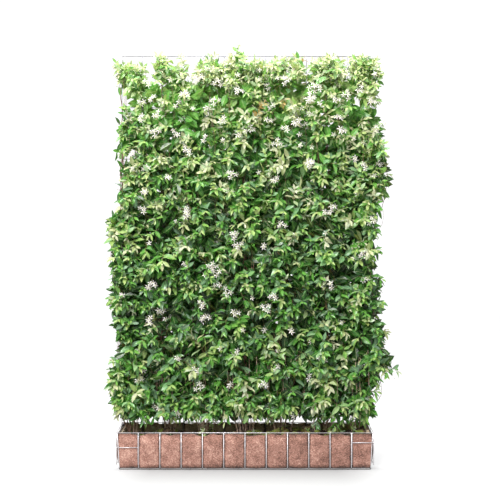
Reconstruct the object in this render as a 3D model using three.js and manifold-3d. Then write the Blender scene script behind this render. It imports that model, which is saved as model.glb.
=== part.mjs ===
// A star jasmine screen: seven climbing plants on a galvanised wire trellis,
// growing in potting soil in a long coir liner that a wire basket holds.
//
// Frame, in millimetres: X along the screen, Y towards its back, Z up.
// The origin is the middle of the basket's underside.
//
// Leaves, stems and flowers stand where a seeded rule puts them. What would cross
// another piece is tried again at another angle, so every piece is clear of the rest.

import * as THREE from 'three';
import { mergeVertices } from 'three/addons/utils/BufferGeometryUtils.js';
import Module from 'manifold-3d';

const wasm = await Module();
wasm.setup();

const at = (x, y, z) => new THREE.Vector3(x, y, z);

// ---------------------------------------------------------------- dimensions

const LENGTH = 1200; // basket and trellis, wire centre to wire centre
const DEPTH = 200;
const PITCH = 100; // upright wires, basket and trellis alike
const CELLS = LENGTH / PITCH;
const WIRE = 4;
const GAP = 0.3; // between pieces that touch

const BASKET_HEIGHT = 175;
const BASKET_LEAN = 10; // the end wires' feet stand this much further in

const END_PANEL_FOOT = 24;
const LEFT_PANEL_RAIL = 105; // height of the rail that wraps the corner
const RIGHT_PANEL_RAIL = 128;

const LINER_WALL = 12;
const LINER_FLOOR = 14;
const LINER_BULGE = 6; // between two wires
const LINER_END_BULGE = 3;
const LINER_TUCK = 0.8; // where a wire presses it in
const LINER_RIM = BASKET_HEIGHT - WIRE - 0.5;
const LINER_FOOT = WIRE + GAP;
const LINER_CORNER = 26;

const SOIL_LOW = 118; // at the left end
const SOIL_HIGH = 150; // at the right end

const TRELLIS_Y = 50;
const TRELLIS_FOOT = 42;
const TRELLIS_TOP = 1974;
const RAIL_COUNT = 8;
const RAIL_FIRST = 220;
const RAIL_STEP = 250;
const RAIL_WIDTH = 4.8;
const RAIL_BITE = 0.4; // how far a rail is welded into the uprights

const PLANTS = 7;
const PLANT_STEP = 2 * PITCH;
const LEADER_RADIUS = 4;
const LEADER_Y = TRELLIS_Y - WIRE / 2 - GAP - LEADER_RADIUS;
const LEADER_TOP = 1880;
const CANE_RADIUS = 3.4;
const CROWN_FOOT = 96;
const CROWN_RADIUS = 8;

const FOLIAGE_FOOT = 300;
const FOLIAGE_ROW = 56; // half a leaf's length
const FOLIAGE_ROWS = 30;
const FOLIAGE_HALF_WIDTH = 88;
const OUTER_HALF_WIDTH = { left: 26, right: 44 }; // on the free sides of the first and last plant
const FOLIAGE_REACH = 99; // no leaf tip is further to the side of its plant
const LEAF_RISE = [12, 44]; // of a leaf's tip out of the foliage
const LEAF_DROP = [0, 15];
const FRONT_PLANE = LEADER_Y - LEADER_RADIUS - GAP;
const BACK_PLANE = 57;
const FRONT_DEPTH = 66;
const BACK_DEPTH = 48;

const SHOOT_LEAF = { length: 78, width: 31, thick: 2.6 };
const SHOOT_PAIRS = 2;
const SHOOT_REACH = 34; // bare rib between its root and the first pair
const SHOOT_DEPTH = 9; // its root's depth below the foliage's skin
const REACH = new THREE.Box3(at(-706, -152, 200), at(760, 190, 2036)); // of shoots and flowers

const FLORET_RADIUS = 15;
const FLORET_NOTCH = 6;
const FLORET_TUBE = 26;
const STALK = 30;

const TWIG_HEIGHTS = [700, 1340]; // where foliage passes through the trellis
const TWIG_ASIDE = 46;

// Flower clusters, as [x, z] of each.
const FLOWERS_FRONT = [
  [-210, 1835], [180, 1825], [-285, 1770], [310, 1740], [-470, 1640], [-90, 1635], [250, 1610],
  [445, 1590], [-285, 1480], [-75, 1370], [305, 1440], [560, 1430], [-490, 1220], [-290, 1205],
  [400, 1200], [-45, 1080], [560, 1000], [-150, 930], [-455, 850], [140, 810], [395, 850],
  [-200, 710], [75, 400], [320, 405], [-510, 400],
];
const FLOWERS_BACK = [
  [-500, 1500], [-120, 1650], [290, 1560], [560, 1250], [-330, 1080], [60, 1120], [330, 700],
];

const COLOURS = {
  leaf: { color: 0x4f7440, roughness: 0.42, metalness: 0 },
  stem: { color: 0x5a4335, roughness: 0.85, metalness: 0 },
  flower: { color: 0xf6f4ea, roughness: 0.6, metalness: 0 },
  wire: { color: 0x9b9c9a, roughness: 0.45, metalness: 0.9 },
  coir: { color: 0xb68d7f, roughness: 0.95, metalness: 0 },
  soil: { color: 0x3d3128, roughness: 1, metalness: 0 },
};

// ------------------------------------------------------------------- helpers

function seededRandom(seed) {
  let state = seed;
  return () => {
    state = (state + 0x6d2b79f5) | 0;
    let t = Math.imul(state ^ (state >>> 15), 1 | state);
    t = (t + Math.imul(t ^ (t >>> 7), 61 | t)) ^ t;
    return ((t ^ (t >>> 14)) >>> 0) / 4294967296;
  };
}

const random = seededRandom(20);
const between = (low, high) => low + (high - low) * random();

function positionsOnly(geometry) {
  const plain = geometry.index ? geometry.toNonIndexed() : geometry.clone();
  for (const name of Object.keys(plain.attributes)) {
    if (name !== 'position') plain.deleteAttribute(name);
  }
  return mergeVertices(plain, 1e-3);
}

function solid(geometry) {
  const merged = positionsOnly(geometry);
  return new wasm.Manifold(
    new wasm.Mesh({
      numProp: 3,
      vertProperties: merged.attributes.position.array,
      triVerts: new Uint32Array(merged.index.array),
    }),
  );
}

function geometryOf(body) {
  const mesh = body.getMesh();
  const geometry = new THREE.BufferGeometry();
  geometry.setAttribute('position', new THREE.BufferAttribute(new Float32Array(mesh.vertProperties), 3));
  geometry.setIndex(new THREE.BufferAttribute(new Uint32Array(mesh.triVerts), 1));
  return geometry;
}

const join = (bodies) => wasm.Manifold.union(bodies);

function piece(name, geometry, finish) {
  const flat = geometry.index ? geometry.toNonIndexed() : geometry.clone();
  flat.computeVertexNormals();
  const mesh = new THREE.Mesh(flat, new THREE.MeshStandardMaterial({ ...finish, flatShading: true }));
  mesh.name = name;
  return mesh;
}

// A closed geometry from a list of corners and a list of faces that index them. The faces
// may all point in: a solid that comes out with a negative volume is turned round.
function facets(corners, faces) {
  const geometry = new THREE.BufferGeometry().setFromPoints(corners);
  let volume = 0;
  for (const [a, b, c] of faces) {
    volume += corners[a].dot(new THREE.Vector3().crossVectors(corners[b], corners[c]));
  }
  const turned = volume < 0 ? faces.map(([a, b, c]) => [a, c, b]) : faces;
  geometry.setIndex(turned.flat());
  return geometry;
}

function bar(width, depth, height, x, y, z) {
  return new THREE.BoxGeometry(width, depth, height).translate(x, y, z);
}

const upright = (index) => -LENGTH / 2 + index * PITCH;
const plantX = (index) => -LENGTH / 2 + index * PLANT_STEP;

// -------------------------------------------------------------------- basket

// A basket wire runs down the front, under the liner and up the back.
function basketHoop(x) {
  const outer = DEPTH / 2 + WIRE / 2;
  const inner = outer - WIRE;
  const outline = new THREE.Shape([
    new THREE.Vector2(-outer, BASKET_HEIGHT),
    new THREE.Vector2(-outer, 0),
    new THREE.Vector2(outer, 0),
    new THREE.Vector2(outer, BASKET_HEIGHT),
    new THREE.Vector2(inner, BASKET_HEIGHT),
    new THREE.Vector2(inner, WIRE),
    new THREE.Vector2(-inner, WIRE),
    new THREE.Vector2(-inner, BASKET_HEIGHT),
  ]);
  const hoop = new THREE.ExtrudeGeometry(outline, { depth: WIRE, bevelEnabled: false });
  hoop.rotateX(Math.PI / 2).rotateZ(Math.PI / 2).translate(x - WIRE / 2, 0, 0);
  if (Math.abs(x) === LENGTH / 2) {
    const lean = (BASKET_LEAN / BASKET_HEIGHT) * Math.sign(x);
    hoop.applyMatrix4(new THREE.Matrix4().makeShear(0, 0, 0, 0, lean, 0));
    hoop.translate(-BASKET_LEAN * Math.sign(x), 0, 0);
  }
  return hoop;
}

function wireBasket() {
  const parts = [];
  for (let i = 0; i <= CELLS; i += 1) parts.push(solid(basketHoop(upright(i))));
  const foot = LENGTH - 2 * BASKET_LEAN;
  for (const side of [-1, 1]) {
    const y = (side * DEPTH) / 2;
    parts.push(solid(bar(LENGTH + WIRE, WIRE, WIRE, 0, y, BASKET_HEIGHT - WIRE / 2)));
    parts.push(solid(bar(foot, WIRE, WIRE, 0, y, WIRE / 2)));
  }
  return join(parts);
}

// A mesh panel closes each end of the basket. It wraps round both corners by one cell,
// outside the hoops, and its rail there is the extra wire of the end cell.
function endPanel(sign, railHeight) {
  const outer = DEPTH / 2 + WIRE + GAP;
  const farX = sign * (LENGTH / 2 + WIRE + GAP);
  const nearX = sign * (LENGTH / 2 - PITCH + WIRE / 2);
  const height = BASKET_HEIGHT - END_PANEL_FOOT;
  const middle = END_PANEL_FOOT + height / 2;
  const rail = WIRE - 1;
  const parts = [bar(WIRE, WIRE, height, farX, 0, middle)];
  for (const face of [-1, 1]) {
    const y = face * outer;
    parts.push(bar(WIRE, WIRE, height, nearX, y, middle));
    parts.push(bar(WIRE, WIRE, height, farX, y, middle));
    parts.push(bar(PITCH + WIRE, rail, rail, (farX + nearX) / 2, y, railHeight));
  }
  for (const z of [END_PANEL_FOOT + WIRE / 2, railHeight, BASKET_HEIGHT - WIRE / 2]) {
    parts.push(bar(rail, 2 * outer, rail, farX, 0, z));
  }
  return join(parts.map(solid));
}

// ------------------------------------------------------------ liner and soil

// The liner sags out between the wires and has round lower edges and upright ends.
function linerSection(x, bulge) {
  const half = DEPTH / 2 - WIRE / 2 - GAP;
  const front = [
    at(x, -half + LINER_TUCK, LINER_RIM),
    at(x, -half - bulge, LINER_FOOT + 2 * LINER_CORNER),
    at(x, -half + LINER_CORNER * 0.3, LINER_FOOT + LINER_CORNER * 0.3),
    at(x, -half + LINER_CORNER * 1.2, LINER_FOOT),
  ];
  const back = front.map((p) => at(p.x, -p.y, p.z)).reverse();
  return front.concat(back);
}

function loft(sections) {
  const corners = sections.flat();
  const around = sections[0].length;
  const faces = [];
  for (let s = 0; s + 1 < sections.length; s += 1) {
    for (let k = 0; k < around; k += 1) {
      const a = s * around + k;
      const b = s * around + ((k + 1) % around);
      faces.push([a, b, b + around], [a, b + around, a + around]);
    }
  }
  const last = corners.length - around;
  for (let k = 1; k + 1 < around; k += 1) {
    faces.push([0, k + 1, k], [last, last + k, last + k + 1]);
  }
  return facets(corners, faces);
}

const LINER_END = LENGTH / 2 - WIRE / 2 - GAP - BASKET_LEAN;

function coirLiner() {
  const sections = [];
  const wires = Array.from({ length: CELLS + 1 }, (_, i) => upright(i));
  wires[0] = -LINER_END;
  wires[CELLS] = LINER_END;
  for (let cell = 0; cell < CELLS; cell += 1) {
    const end = cell === 0 || cell === CELLS - 1;
    const bulge = end ? LINER_END_BULGE : LINER_BULGE;
    const start = wires[cell];
    const width = wires[cell + 1] - start;
    sections.push(linerSection(start, -LINER_TUCK));
    sections.push(linerSection(start + 0.3 * width, bulge));
    sections.push(linerSection(start + 0.7 * width, bulge));
  }
  sections.push(linerSection(wires[CELLS], -LINER_TUCK));
  const inside = bar(
    2 * (LINER_END - LINER_WALL),
    DEPTH - 2 * (LINER_WALL + WIRE),
    LINER_RIM,
    0,
    0,
    LINER_FOOT + LINER_FLOOR + LINER_RIM / 2,
  );
  return solid(loft(sections)).subtract(solid(inside));
}

// The soil's top rises to the right and is uneven.
function soilHeight(x, y) {
  const along = (x + LENGTH / 2) / LENGTH;
  return SOIL_LOW + (SOIL_HIGH - SOIL_LOW) * along + 6 * Math.sin(x / 70) * Math.cos(y / 40 + x / 110);
}

// The uprights of the trellis and the crowns of the plants stand in plain holes.
function pottingSoil(crowns) {
  const width = 2 * (LINER_END - LINER_WALL - GAP);
  const depth = DEPTH - 2 * (LINER_WALL + WIRE + GAP);
  const foot = LINER_FOOT + LINER_FLOOR + GAP;
  const block = new THREE.BoxGeometry(width, depth, 1, 10, 2, 1).translate(0, 0, 0.5);
  const corner = block.attributes.position;
  for (let i = 0; i < corner.count; i += 1) {
    const top = corner.getZ(i) > 0.5;
    corner.setZ(i, top ? soilHeight(corner.getX(i), corner.getY(i)) : foot);
  }
  const holes = [];
  const holeWidth = WIRE + 2 * GAP;
  for (let i = 0; i <= CELLS; i += 1) {
    const middle = TRELLIS_FOOT - GAP + BASKET_HEIGHT / 2;
    holes.push(bar(holeWidth, holeWidth, BASKET_HEIGHT, upright(i), TRELLIS_Y, middle));
  }
  for (const { x, y } of crowns) {
    const hole = new THREE.CylinderGeometry(CROWN_RADIUS + 2, CROWN_RADIUS + 2, BASKET_HEIGHT, 6);
    holes.push(hole.rotateX(Math.PI / 2).translate(x, y, CROWN_FOOT - GAP + BASKET_HEIGHT / 2));
  }
  return solid(block).subtract(join(holes.map(solid)));
}

// ------------------------------------------------------------------- trellis

// Eight rails are welded across the back of thirteen uprights.
function trellis() {
  const parts = [];
  const height = TRELLIS_TOP - TRELLIS_FOOT;
  for (let i = 0; i <= CELLS; i += 1) {
    parts.push(bar(WIRE, WIRE, height, upright(i), TRELLIS_Y, TRELLIS_FOOT + height / 2));
  }
  const railFace = TRELLIS_Y + WIRE / 2 - RAIL_BITE;
  for (let i = 0; i < RAIL_COUNT; i += 1) {
    const outline = new THREE.Shape([
      new THREE.Vector2(-RAIL_WIDTH / 2, RAIL_WIDTH * 0.8),
      new THREE.Vector2(0, 0),
      new THREE.Vector2(RAIL_WIDTH / 2, RAIL_WIDTH * 0.8),
    ]);
    const rail = new THREE.ExtrudeGeometry(outline, { depth: LENGTH + WIRE, bevelEnabled: false });
    rail.rotateY(Math.PI / 2).translate(-(LENGTH + WIRE) / 2, railFace, RAIL_FIRST + i * RAIL_STEP);
    parts.push(rail);
  }
  return join(parts.map(solid));
}

// --------------------------------------------------------------------- stems

// A stem is a stack of level polygons, given by the middle and the radius of each.
function stemOf(levels, sides) {
  const turn = between(0, Math.PI);
  const rings = levels.map(([x, y, z, radius]) =>
    Array.from({ length: sides }, (_, k) => {
      const angle = turn + (2 * Math.PI * k) / sides;
      return at(x + radius * Math.cos(angle), y + radius * Math.sin(angle), z);
    }),
  );
  return solid(loft(rings));
}

// Each plant stands on one crown. Its leader climbs an upright and two canes wind beside it.
function vineStem(x, crown) {
  const kneeX = crown.x * 0.4 + x * 0.6 + between(-7, 7);
  const kneeY = (crown.y + LEADER_Y) / 2;
  const leader = stemOf(
    [
      [crown.x, crown.y, CROWN_FOOT, CROWN_RADIUS],
      [crown.x, crown.y, CROWN_FOOT + 66, CROWN_RADIUS * 0.8],
      [kneeX, kneeY, 212, LEADER_RADIUS + 1],
      [x + between(-5, 5), LEADER_Y - 3, 256, LEADER_RADIUS],
      [x, LEADER_Y, 292, LEADER_RADIUS],
      [x, LEADER_Y, LEADER_TOP, LEADER_RADIUS * 0.7],
    ],
    5,
  );
  const canes = [-1, 1].map((side) => {
    const out = side * between(16, 26);
    const ahead = crown.y - between(6, 16);
    return stemOf(
      [
        [crown.x, crown.y, CROWN_FOOT + 50, CANE_RADIUS],
        [crown.x + out, ahead, 190, CANE_RADIUS],
        [x + out * 0.8, (ahead + LEADER_Y) / 2, 240, CANE_RADIUS],
        [x + side * 0.6, LEADER_Y - 1, 290, CANE_RADIUS],
      ],
      3,
    );
  });
  return join([leader, ...canes]);
}

// ------------------------------------------------------------------- foliage

// The skin of one plant's foliage, on one side of the trellis, as a half column whose flat
// side is level with the trellis. share runs from 0 at its left edge to 1 at its right.
function foliageSkin(x, toward, plane, depth) {
  const phase = between(0, 6);
  const leftWidth = x === plantX(0) ? OUTER_HALF_WIDTH.left : FOLIAGE_HALF_WIDTH;
  const rightWidth = x === plantX(PLANTS - 1) ? OUTER_HALF_WIDTH.right : FOLIAGE_HALF_WIDTH;
  const fullness = (row) => {
    const fromEnd = Math.min((row + 1.2) / 2.4, (FOLIAGE_ROWS + 0.6 - row) / 3.2, 1);
    const swell = 0.06 * Math.sin(row * 0.9 + phase) + 0.05 * Math.sin(row * 0.37 + 2 * phase);
    return Math.sqrt(fromEnd) * (1 + swell);
  };
  const outward = (share) => {
    const angle = Math.PI * share;
    return at(-0.8 * Math.cos(angle), toward * (0.35 + Math.sin(angle)), 0).normalize();
  };
  const point = (share, row) => {
    const angle = Math.PI * share;
    const lump = 1 + 0.16 * Math.sin(row * 0.7 + 4 * share + phase);
    const halfWidth = share < 0.5 ? leftWidth : rightWidth;
    const sideways = -halfWidth * fullness(row) * Math.cos(angle);
    const out = depth * fullness(row) * lump * Math.sin(angle) ** 0.36;
    return at(x + sideways, plane + toward * out, FOLIAGE_FOOT + row * FOLIAGE_ROW);
  };
  return { x, toward, plane, outward, point };
}

// Rows of leaves cover the skin and overlap as on a hedge. Every leaf is a folded diamond,
// two rows long. Its tip stands out over the rows below it, at the diamond's lowest corner
// or part of the way up one of the edges beside that corner.
function leafRows(skin, across) {
  const { x, toward, plane } = skin;
  const corners = [];
  const faces = [];
  const add = (point) => corners.push(point) - 1;
  const tipOf = (share, row, hang) => {
    const slide = share > 0 && share < 1 ? between(-0.55, 0.55) : 0;
    const tip = skin.point(share + slide / (2 * across), row + Math.abs(slide));
    tip.addScaledVector(skin.outward(share), between(...LEAF_RISE));
    tip.x = THREE.MathUtils.clamp(tip.x, x - FOLIAGE_REACH, x + FOLIAGE_REACH);
    tip.y = toward * Math.max(toward * tip.y, toward * plane + 1.5);
    tip.z -= hang + between(...LEAF_DROP);
    return add(tip);
  };
  const rows = [];
  for (let row = 0; row <= FOLIAGE_ROWS; row += 1) {
    const offset = (row % 2) / 2;
    const count = row % 2 ? across : across + 1;
    rows.push(Array.from({ length: count }, (_, k) => add(skin.point((k + offset) / across, row))));
  }
  for (let row = 0; row <= FOLIAGE_ROWS; row += 1) {
    const odd = row % 2;
    for (let leaf = 0; leaf < across + odd; leaf += 1) {
      const middle = (leaf + (odd ? 0 : 0.5)) / across;
      const left = rows[row][leaf - odd];
      const right = rows[row][leaf + 1 - odd];
      const above = rows[row + 1]?.[leaf];
      const below = rows[row - 1]?.[leaf];
      const ring = [above, right, below, left].filter((corner) => corner !== undefined);
      const tip = row === 0 ? tipOf(middle, 0, FOLIAGE_ROW * 0.8) : tipOf(middle, row - 1, 0);
      for (let k = 0; k < ring.length; k += 1) {
        faces.push([ring[k], tip, ring[(k + 1) % ring.length]]);
      }
    }
  }
  for (let row = 0; row < FOLIAGE_ROWS; row += 2) {
    const [lowLeft, highLeft] = [rows[row][0], rows[row + 2][0]];
    const [lowRight, highRight] = [rows[row][across], rows[row + 2][across]];
    faces.push([lowLeft, highLeft, lowRight], [highLeft, highRight, lowRight]);
  }
  const [foot, top] = [rows[0], rows[FOLIAGE_ROWS]];
  for (let k = 1; k < across; k += 1) faces.push([foot[0], foot[k + 1], foot[k]]);
  const crown = skin.point(0.5, FOLIAGE_ROWS);
  const bud = add(at(x + between(-12, 12), (crown.y + plane) / 2, crown.z + between(20, 44)));
  top.forEach((corner, k) => faces.push([corner, top[(k + 1) % top.length], bud]));
  return solid(facets(corners, faces));
}

// A twig through a cell of the trellis joins the foliage before it to the foliage behind it.
function throughTwig(x, z) {
  return solid(bar(16, BACK_PLANE - FRONT_PLANE + 24, 12, x, (BACK_PLANE + FRONT_PLANE) / 2, z));
}

// -------------------------------------------------------------------- shoots

// The lean and the size of each leaf of a shoot, side by side and pair by pair.
function shootHabit() {
  const leaf = () => ({ lean: between(0.84, 1.05), scale: between(0.84, 1) });
  return { left: [leaf(), leaf()], right: [leaf(), leaf()], end: leaf() };
}

// A shoot: two pairs of leaves and one end leaf, cut to the rib in the outline of one arched
// blade that is thick along the rib and thin at the edge. It lies along +X from its root,
// with its upper face up. swell makes it fatter, to keep its neighbours clear of it.
function shootBlade(habit, reach, swell) {
  const { length, width, thick } = SHOOT_LEAF;
  const step = width * 1.3;
  const half = thick / 2 + swell;
  const wide = width / 2 + swell;
  const arch = (px) => 10 * Math.sin(Math.min(px / (step * (SHOOT_PAIRS + 1.5)), 1) * Math.PI);
  const corners = [];
  const faces = [];
  const add = (px, py, pz) => corners.push(at(px, py, pz)) - 1;
  const heels = Array.from({ length: SHOOT_PAIRS + 1 }, (_, k) => k * step);
  const ribs = [1, -1].map((up) => heels.map((px) => add(px, 0, arch(px) + up * half)));
  const roots = [1, -1].map((up) => add(-reach, 0, up * (half + 1)));
  const sides = [1, -1].map((side) => {
    const outline = [add(-reach, side * 3, 0)];
    const fans = [];
    heels.forEach((px, k) => {
      outline.push(add(px - step * 0.3, side * 2.4, arch(px)));
      if (k === SHOOT_PAIRS) return;
      const { lean, scale } = side > 0 ? habit.left[k] : habit.right[k];
      const fan = [outline[k + 1]];
      for (const [far, aside, lift] of [[0.36, -1, 4], [1, 0, -12], [0.5, 1, 4]]) {
        const reached = far * length * scale;
        const alongX = px + reached * Math.cos(lean) + aside * wide * Math.sin(lean);
        const alongY = reached * Math.sin(lean) - aside * wide * Math.cos(lean);
        fan.push(add(alongX, side * alongY, arch(px) + lift));
      }
      fans.push(fan);
    });
    return { side, outline, fans };
  });
  const endHeel = heels[SHOOT_PAIRS];
  const endLength = length * habit.end.scale;
  const endLeaf = [[0.42, 1, 3], [1, 0, -12], [0.42, -1, 3]].map(([far, aside, lift]) =>
    add(endHeel + far * endLength, aside * wide, arch(endHeel) + lift),
  );
  [1, -1].forEach((up, face) => {
    const rib = ribs[face];
    const root = roots[face];
    const skin = (turn, a, b, c) => faces.push(turn > 0 ? [a, b, c] : [a, c, b]);
    for (const { side, outline, fans } of sides) {
      const turn = -up * side;
      skin(turn, root, outline[0], outline[1]);
      skin(turn, root, outline[1], rib[0]);
      fans.forEach((fan, k) => {
        const edge = [...fan, outline[k + 2]];
        for (let i = 0; i + 1 < edge.length; i += 1) skin(turn, rib[k], edge[i], edge[i + 1]);
        skin(turn, rib[k], outline[k + 2], rib[k + 1]);
      });
    }
    const edge = [sides[0].outline.at(-1), ...endLeaf, sides[1].outline.at(-1)];
    for (let i = 0; i + 1 < edge.length; i += 1) skin(-up, rib[SHOOT_PAIRS], edge[i], edge[i + 1]);
  });
  faces.push([roots[0], sides[0].outline[0], roots[1]], [roots[1], sides[1].outline[0], roots[0]]);
  return facets(corners, faces);
}

// Turns what lies along +X with its face up so that it starts at root, runs along forward
// and faces up as nearly as it can.
function laid(geometry, root, forward, up) {
  const ahead = forward.clone().normalize();
  const aside = new THREE.Vector3().crossVectors(up, ahead).normalize();
  const face = new THREE.Vector3().crossVectors(ahead, aside);
  const frame = new THREE.Matrix4().makeBasis(ahead, aside, face).setPosition(root);
  return geometry.clone().applyMatrix4(frame);
}

// ------------------------------------------------------------------- flowers

// A cluster stands on a three-sided stalk that runs back along -X. One floret grows from the
// end face of the stalk's collar and one from each of its three sides. A floret is a star of
// five petals on a tube that widens from that face.
function flowerCluster(stalk) {
  const corners = [];
  const faces = [];
  const add = (point) => corners.push(point) - 1;
  const turn = between(0, 2);
  const collar = (px, radius) =>
    [0, 1, 2].map((k) => {
      const angle = turn + (2 * Math.PI * k) / 3;
      return add(at(px, radius * Math.cos(angle), radius * Math.sin(angle)));
    });
  const root = collar(-stalk, 2.2);
  const low = collar(0, 2.6);
  const high = collar(7, 3.4);
  faces.push([root[0], root[2], root[1]]);
  const grow = (base, axis, roll) => {
    const heel = at(0, 0, 0);
    for (const corner of base) heel.addScaledVector(corners[corner], 1 / base.length);
    const ahead = axis.clone().normalize();
    const aside = new THREE.Vector3().crossVectors(ahead, at(0.3, 0.2, 1)).normalize();
    const over = new THREE.Vector3().crossVectors(ahead, aside);
    const rim = Array.from({ length: 10 }, (_, k) => {
      const angle = roll + (Math.PI * k) / 5;
      const radius = k % 2 ? FLORET_NOTCH : FLORET_RADIUS;
      const reach = k % 2 ? FLORET_TUBE - 2 : FLORET_TUBE + 1;
      const point = heel.clone().addScaledVector(ahead, reach);
      point.addScaledVector(aside, radius * Math.cos(angle));
      return add(point.addScaledVector(over, radius * Math.sin(angle)));
    });
    const eye = add(heel.clone().addScaledVector(ahead, FLORET_TUBE - 4));
    rim.forEach((corner, k) => faces.push([eye, corner, rim[(k + 1) % 10]]));
    const around = (corner) => {
      const arm = corners[corner].clone().sub(heel);
      const angle = Math.atan2(arm.dot(over), arm.dot(aside)) - roll;
      return ((angle / (2 * Math.PI)) % 1 + 1) % 1;
    };
    const ring = base.toSorted((p, q) => around(p) - around(q));
    let inner = 0;
    for (let k = 0; k < 10; k += 1) {
      while (inner < ring.length && around(ring[inner]) * 10 < k) {
        faces.push([rim[k], ring[inner], ring[(inner + 1) % ring.length]]);
        inner += 1;
      }
      const held = ring[inner % ring.length];
      faces.push([rim[k], held, rim[(k + 1) % 10]]);
    }
    while (inner < ring.length) {
      faces.push([rim[0], ring[inner], ring[(inner + 1) % ring.length]]);
      inner += 1;
    }
  };
  grow(high, at(1, between(-0.15, 0.15), between(-0.15, 0.15)), between(0, 1));
  for (let k = 0; k < 3; k += 1) {
    const next = (k + 1) % 3;
    const angle = turn + (2 * Math.PI * (k + 0.5)) / 3;
    const lean = at(between(0.4, 0.75), Math.cos(angle), Math.sin(angle));
    grow([low[k], low[next], high[next], high[k]], lean, between(0, 1));
    faces.push([root[k], root[next], low[next]], [root[k], low[next], low[k]]);
  }
  return facets(corners, faces);
}

// ------------------------------------------------------------------- placing

const pieces = new Map(); // every finished solid by name, with the box that holds it

function keep(name, body, finish) {
  pieces.set(name, { body, finish, box: boxOf(body) });
}

function boxOf(body) {
  const { min, max } = body.boundingBox();
  return new THREE.Box3(at(...min), at(...max));
}

function crosses(body, exempt) {
  const box = boxOf(body);
  for (const [name, other] of pieces) {
    if (name === exempt || !box.intersectsBox(other.box)) continue;
    if (!body.intersect(other.body).isEmpty()) return true;
  }
  return false;
}

// Brings a flower cluster in towards the foliage until it stands a gap away from it. The
// place is refused if a floret, and not the foot of the stalk, is what comes nearest.
function flowersAt(x, z, toward) {
  for (let attempt = 0; attempt < 40; attempt += 1) {
    const spread = attempt * 1.2;
    const aim = at(between(-0.35, 0.35), toward, between(-0.1, 0.4)).normalize();
    const foot = at(x + between(-spread, spread), 0, z + between(-spread, spread));
    const stalk = between(0.8, 1.4) * STALK;
    const shape = flowerCluster(stalk);
    const stood = (out) => solid(laid(shape, foot.clone().addScaledVector(aim, out), aim, at(0, 0, 1)));
    let far = 240;
    let near = far;
    while (near > 0 && !crosses(stood(near), null)) near -= 12;
    if (near <= 0) continue;
    far = near + 12;
    while (far - near > GAP / 2) {
      const middle = (far + near) / 2;
      if (crosses(stood(middle), null)) near = middle;
      else far = middle;
    }
    const probe = new THREE.CylinderGeometry(2, 2, 4, 3).rotateZ(Math.PI / 2).translate(-stalk, 0, 0);
    const toe = solid(laid(probe, foot.clone().addScaledVector(aim, far), aim, at(0, 0, 1)));
    const body = stood(far + GAP);
    if (crosses(toe, null) && REACH.containsBox(boxOf(body))) return body;
  }
  return null;
}

// Grows a shoot from a plant's foliage, clear of everything else and of the leaf rows.
function growShoot(name, skin, shares, rows, heading) {
  for (let attempt = 0; attempt < 160; attempt += 1) {
    const habit = shootHabit();
    const share = between(...shares);
    const root = skin.point(share, between(...rows)).addScaledVector(skin.outward(share), -SHOOT_DEPTH);
    const turn = between(...heading);
    const forward = at(Math.sin(turn), 0, Math.cos(turn));
    forward.addScaledVector(skin.outward(share), between(0.5, 1));
    const blade = (reach, swell) => {
      const shape = shootBlade(habit, reach, swell).translate(SHOOT_REACH, 0, 0);
      return solid(laid(shape, root, forward, skin.outward(share)));
    };
    const fat = blade(SHOOT_REACH, 0.8);
    if (!REACH.containsBox(boxOf(fat)) || crosses(fat, name)) continue;
    const { body, finish } = pieces.get(name);
    if (!blade(1, 0.8).intersect(body).isEmpty()) continue;
    const grown = join([body, blade(SHOOT_REACH, 0)]);
    if (grown.decompose().length > 1) continue;
    keep(name, grown, finish);
    return true;
  }
  return false;
}

// ------------------------------------------------------------------ assembly

const crowns = Array.from({ length: PLANTS }, (_, i) => ({
  x: plantX(i) * 0.93,
  y: 18 + 14 * Math.sin(i * 2.1),
}));
keep('wire_basket', wireBasket(), COLOURS.wire);
keep('end_panel_left', endPanel(-1, LEFT_PANEL_RAIL), COLOURS.wire);
keep('end_panel_right', endPanel(1, RIGHT_PANEL_RAIL), COLOURS.wire);
keep('coir_liner', coirLiner(), COLOURS.coir);
keep('potting_soil', pottingSoil(crowns), COLOURS.soil);
keep('trellis', trellis(), COLOURS.wire);

const skins = [];
for (let i = 0; i < PLANTS; i += 1) {
  const x = plantX(i);
  const front = foliageSkin(x, -1, FRONT_PLANE, FRONT_DEPTH);
  const back = foliageSkin(x, 1, BACK_PLANE, BACK_DEPTH);
  const inner = i === PLANTS - 1 ? -TWIG_ASIDE : TWIG_ASIDE;
  const twigs = TWIG_HEIGHTS.map((z) => throughTwig(x + inner, z));
  keep(`vine_${i + 1}_stem`, vineStem(x, crowns[i]), COLOURS.stem);
  keep(`vine_${i + 1}_leaves`, join([leafRows(front, 4), leafRows(back, 3), ...twigs]), COLOURS.leaf);
  skins.push({ front, back });
}

let clusters = 0;
for (const [toward, places] of [[-1, FLOWERS_FRONT], [1, FLOWERS_BACK]]) {
  for (const [x, z] of places) {
    const body = flowersAt(x, z, toward);
    if (!body) continue;
    clusters += 1;
    keep(`flowers_${String(clusters).padStart(2, '0')}`, body, COLOURS.flower);
  }
}

// Headings are turns from straight up, in the plane of the screen. A shoot near the edge of
// a plant heads over the gap to its neighbour. Every other plant also has one at the back.
skins.forEach(({ front, back }, i) => {
  const name = `vine_${i + 1}_leaves`;
  const leftward = { shares: [0.1, 0.34], heading: [-2.5, -0.7] };
  const rightward = { shares: [0.66, 0.9], heading: [0.7, 2.5] };
  const [here, there] = i % 2 ? [leftward, rightward] : [rightward, leftward];
  growShoot(name, front, [0.25, 0.75], [27, 28.6], [-0.7, 0.7]);
  growShoot(name, front, here.shares, [17, 25], here.heading);
  growShoot(name, front, there.shares, [8, 15], there.heading);
  growShoot(name, front, here.shares, [1, 6], here.heading);
  if (i % 2 === 0) growShoot(name, back, here.shares, [4, 24], [-2.5, 2.5]);
});

const screen = new THREE.Group();
for (const [name, { body, finish }] of pieces) screen.add(piece(name, geometryOf(body), finish));

export default screen;
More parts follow.
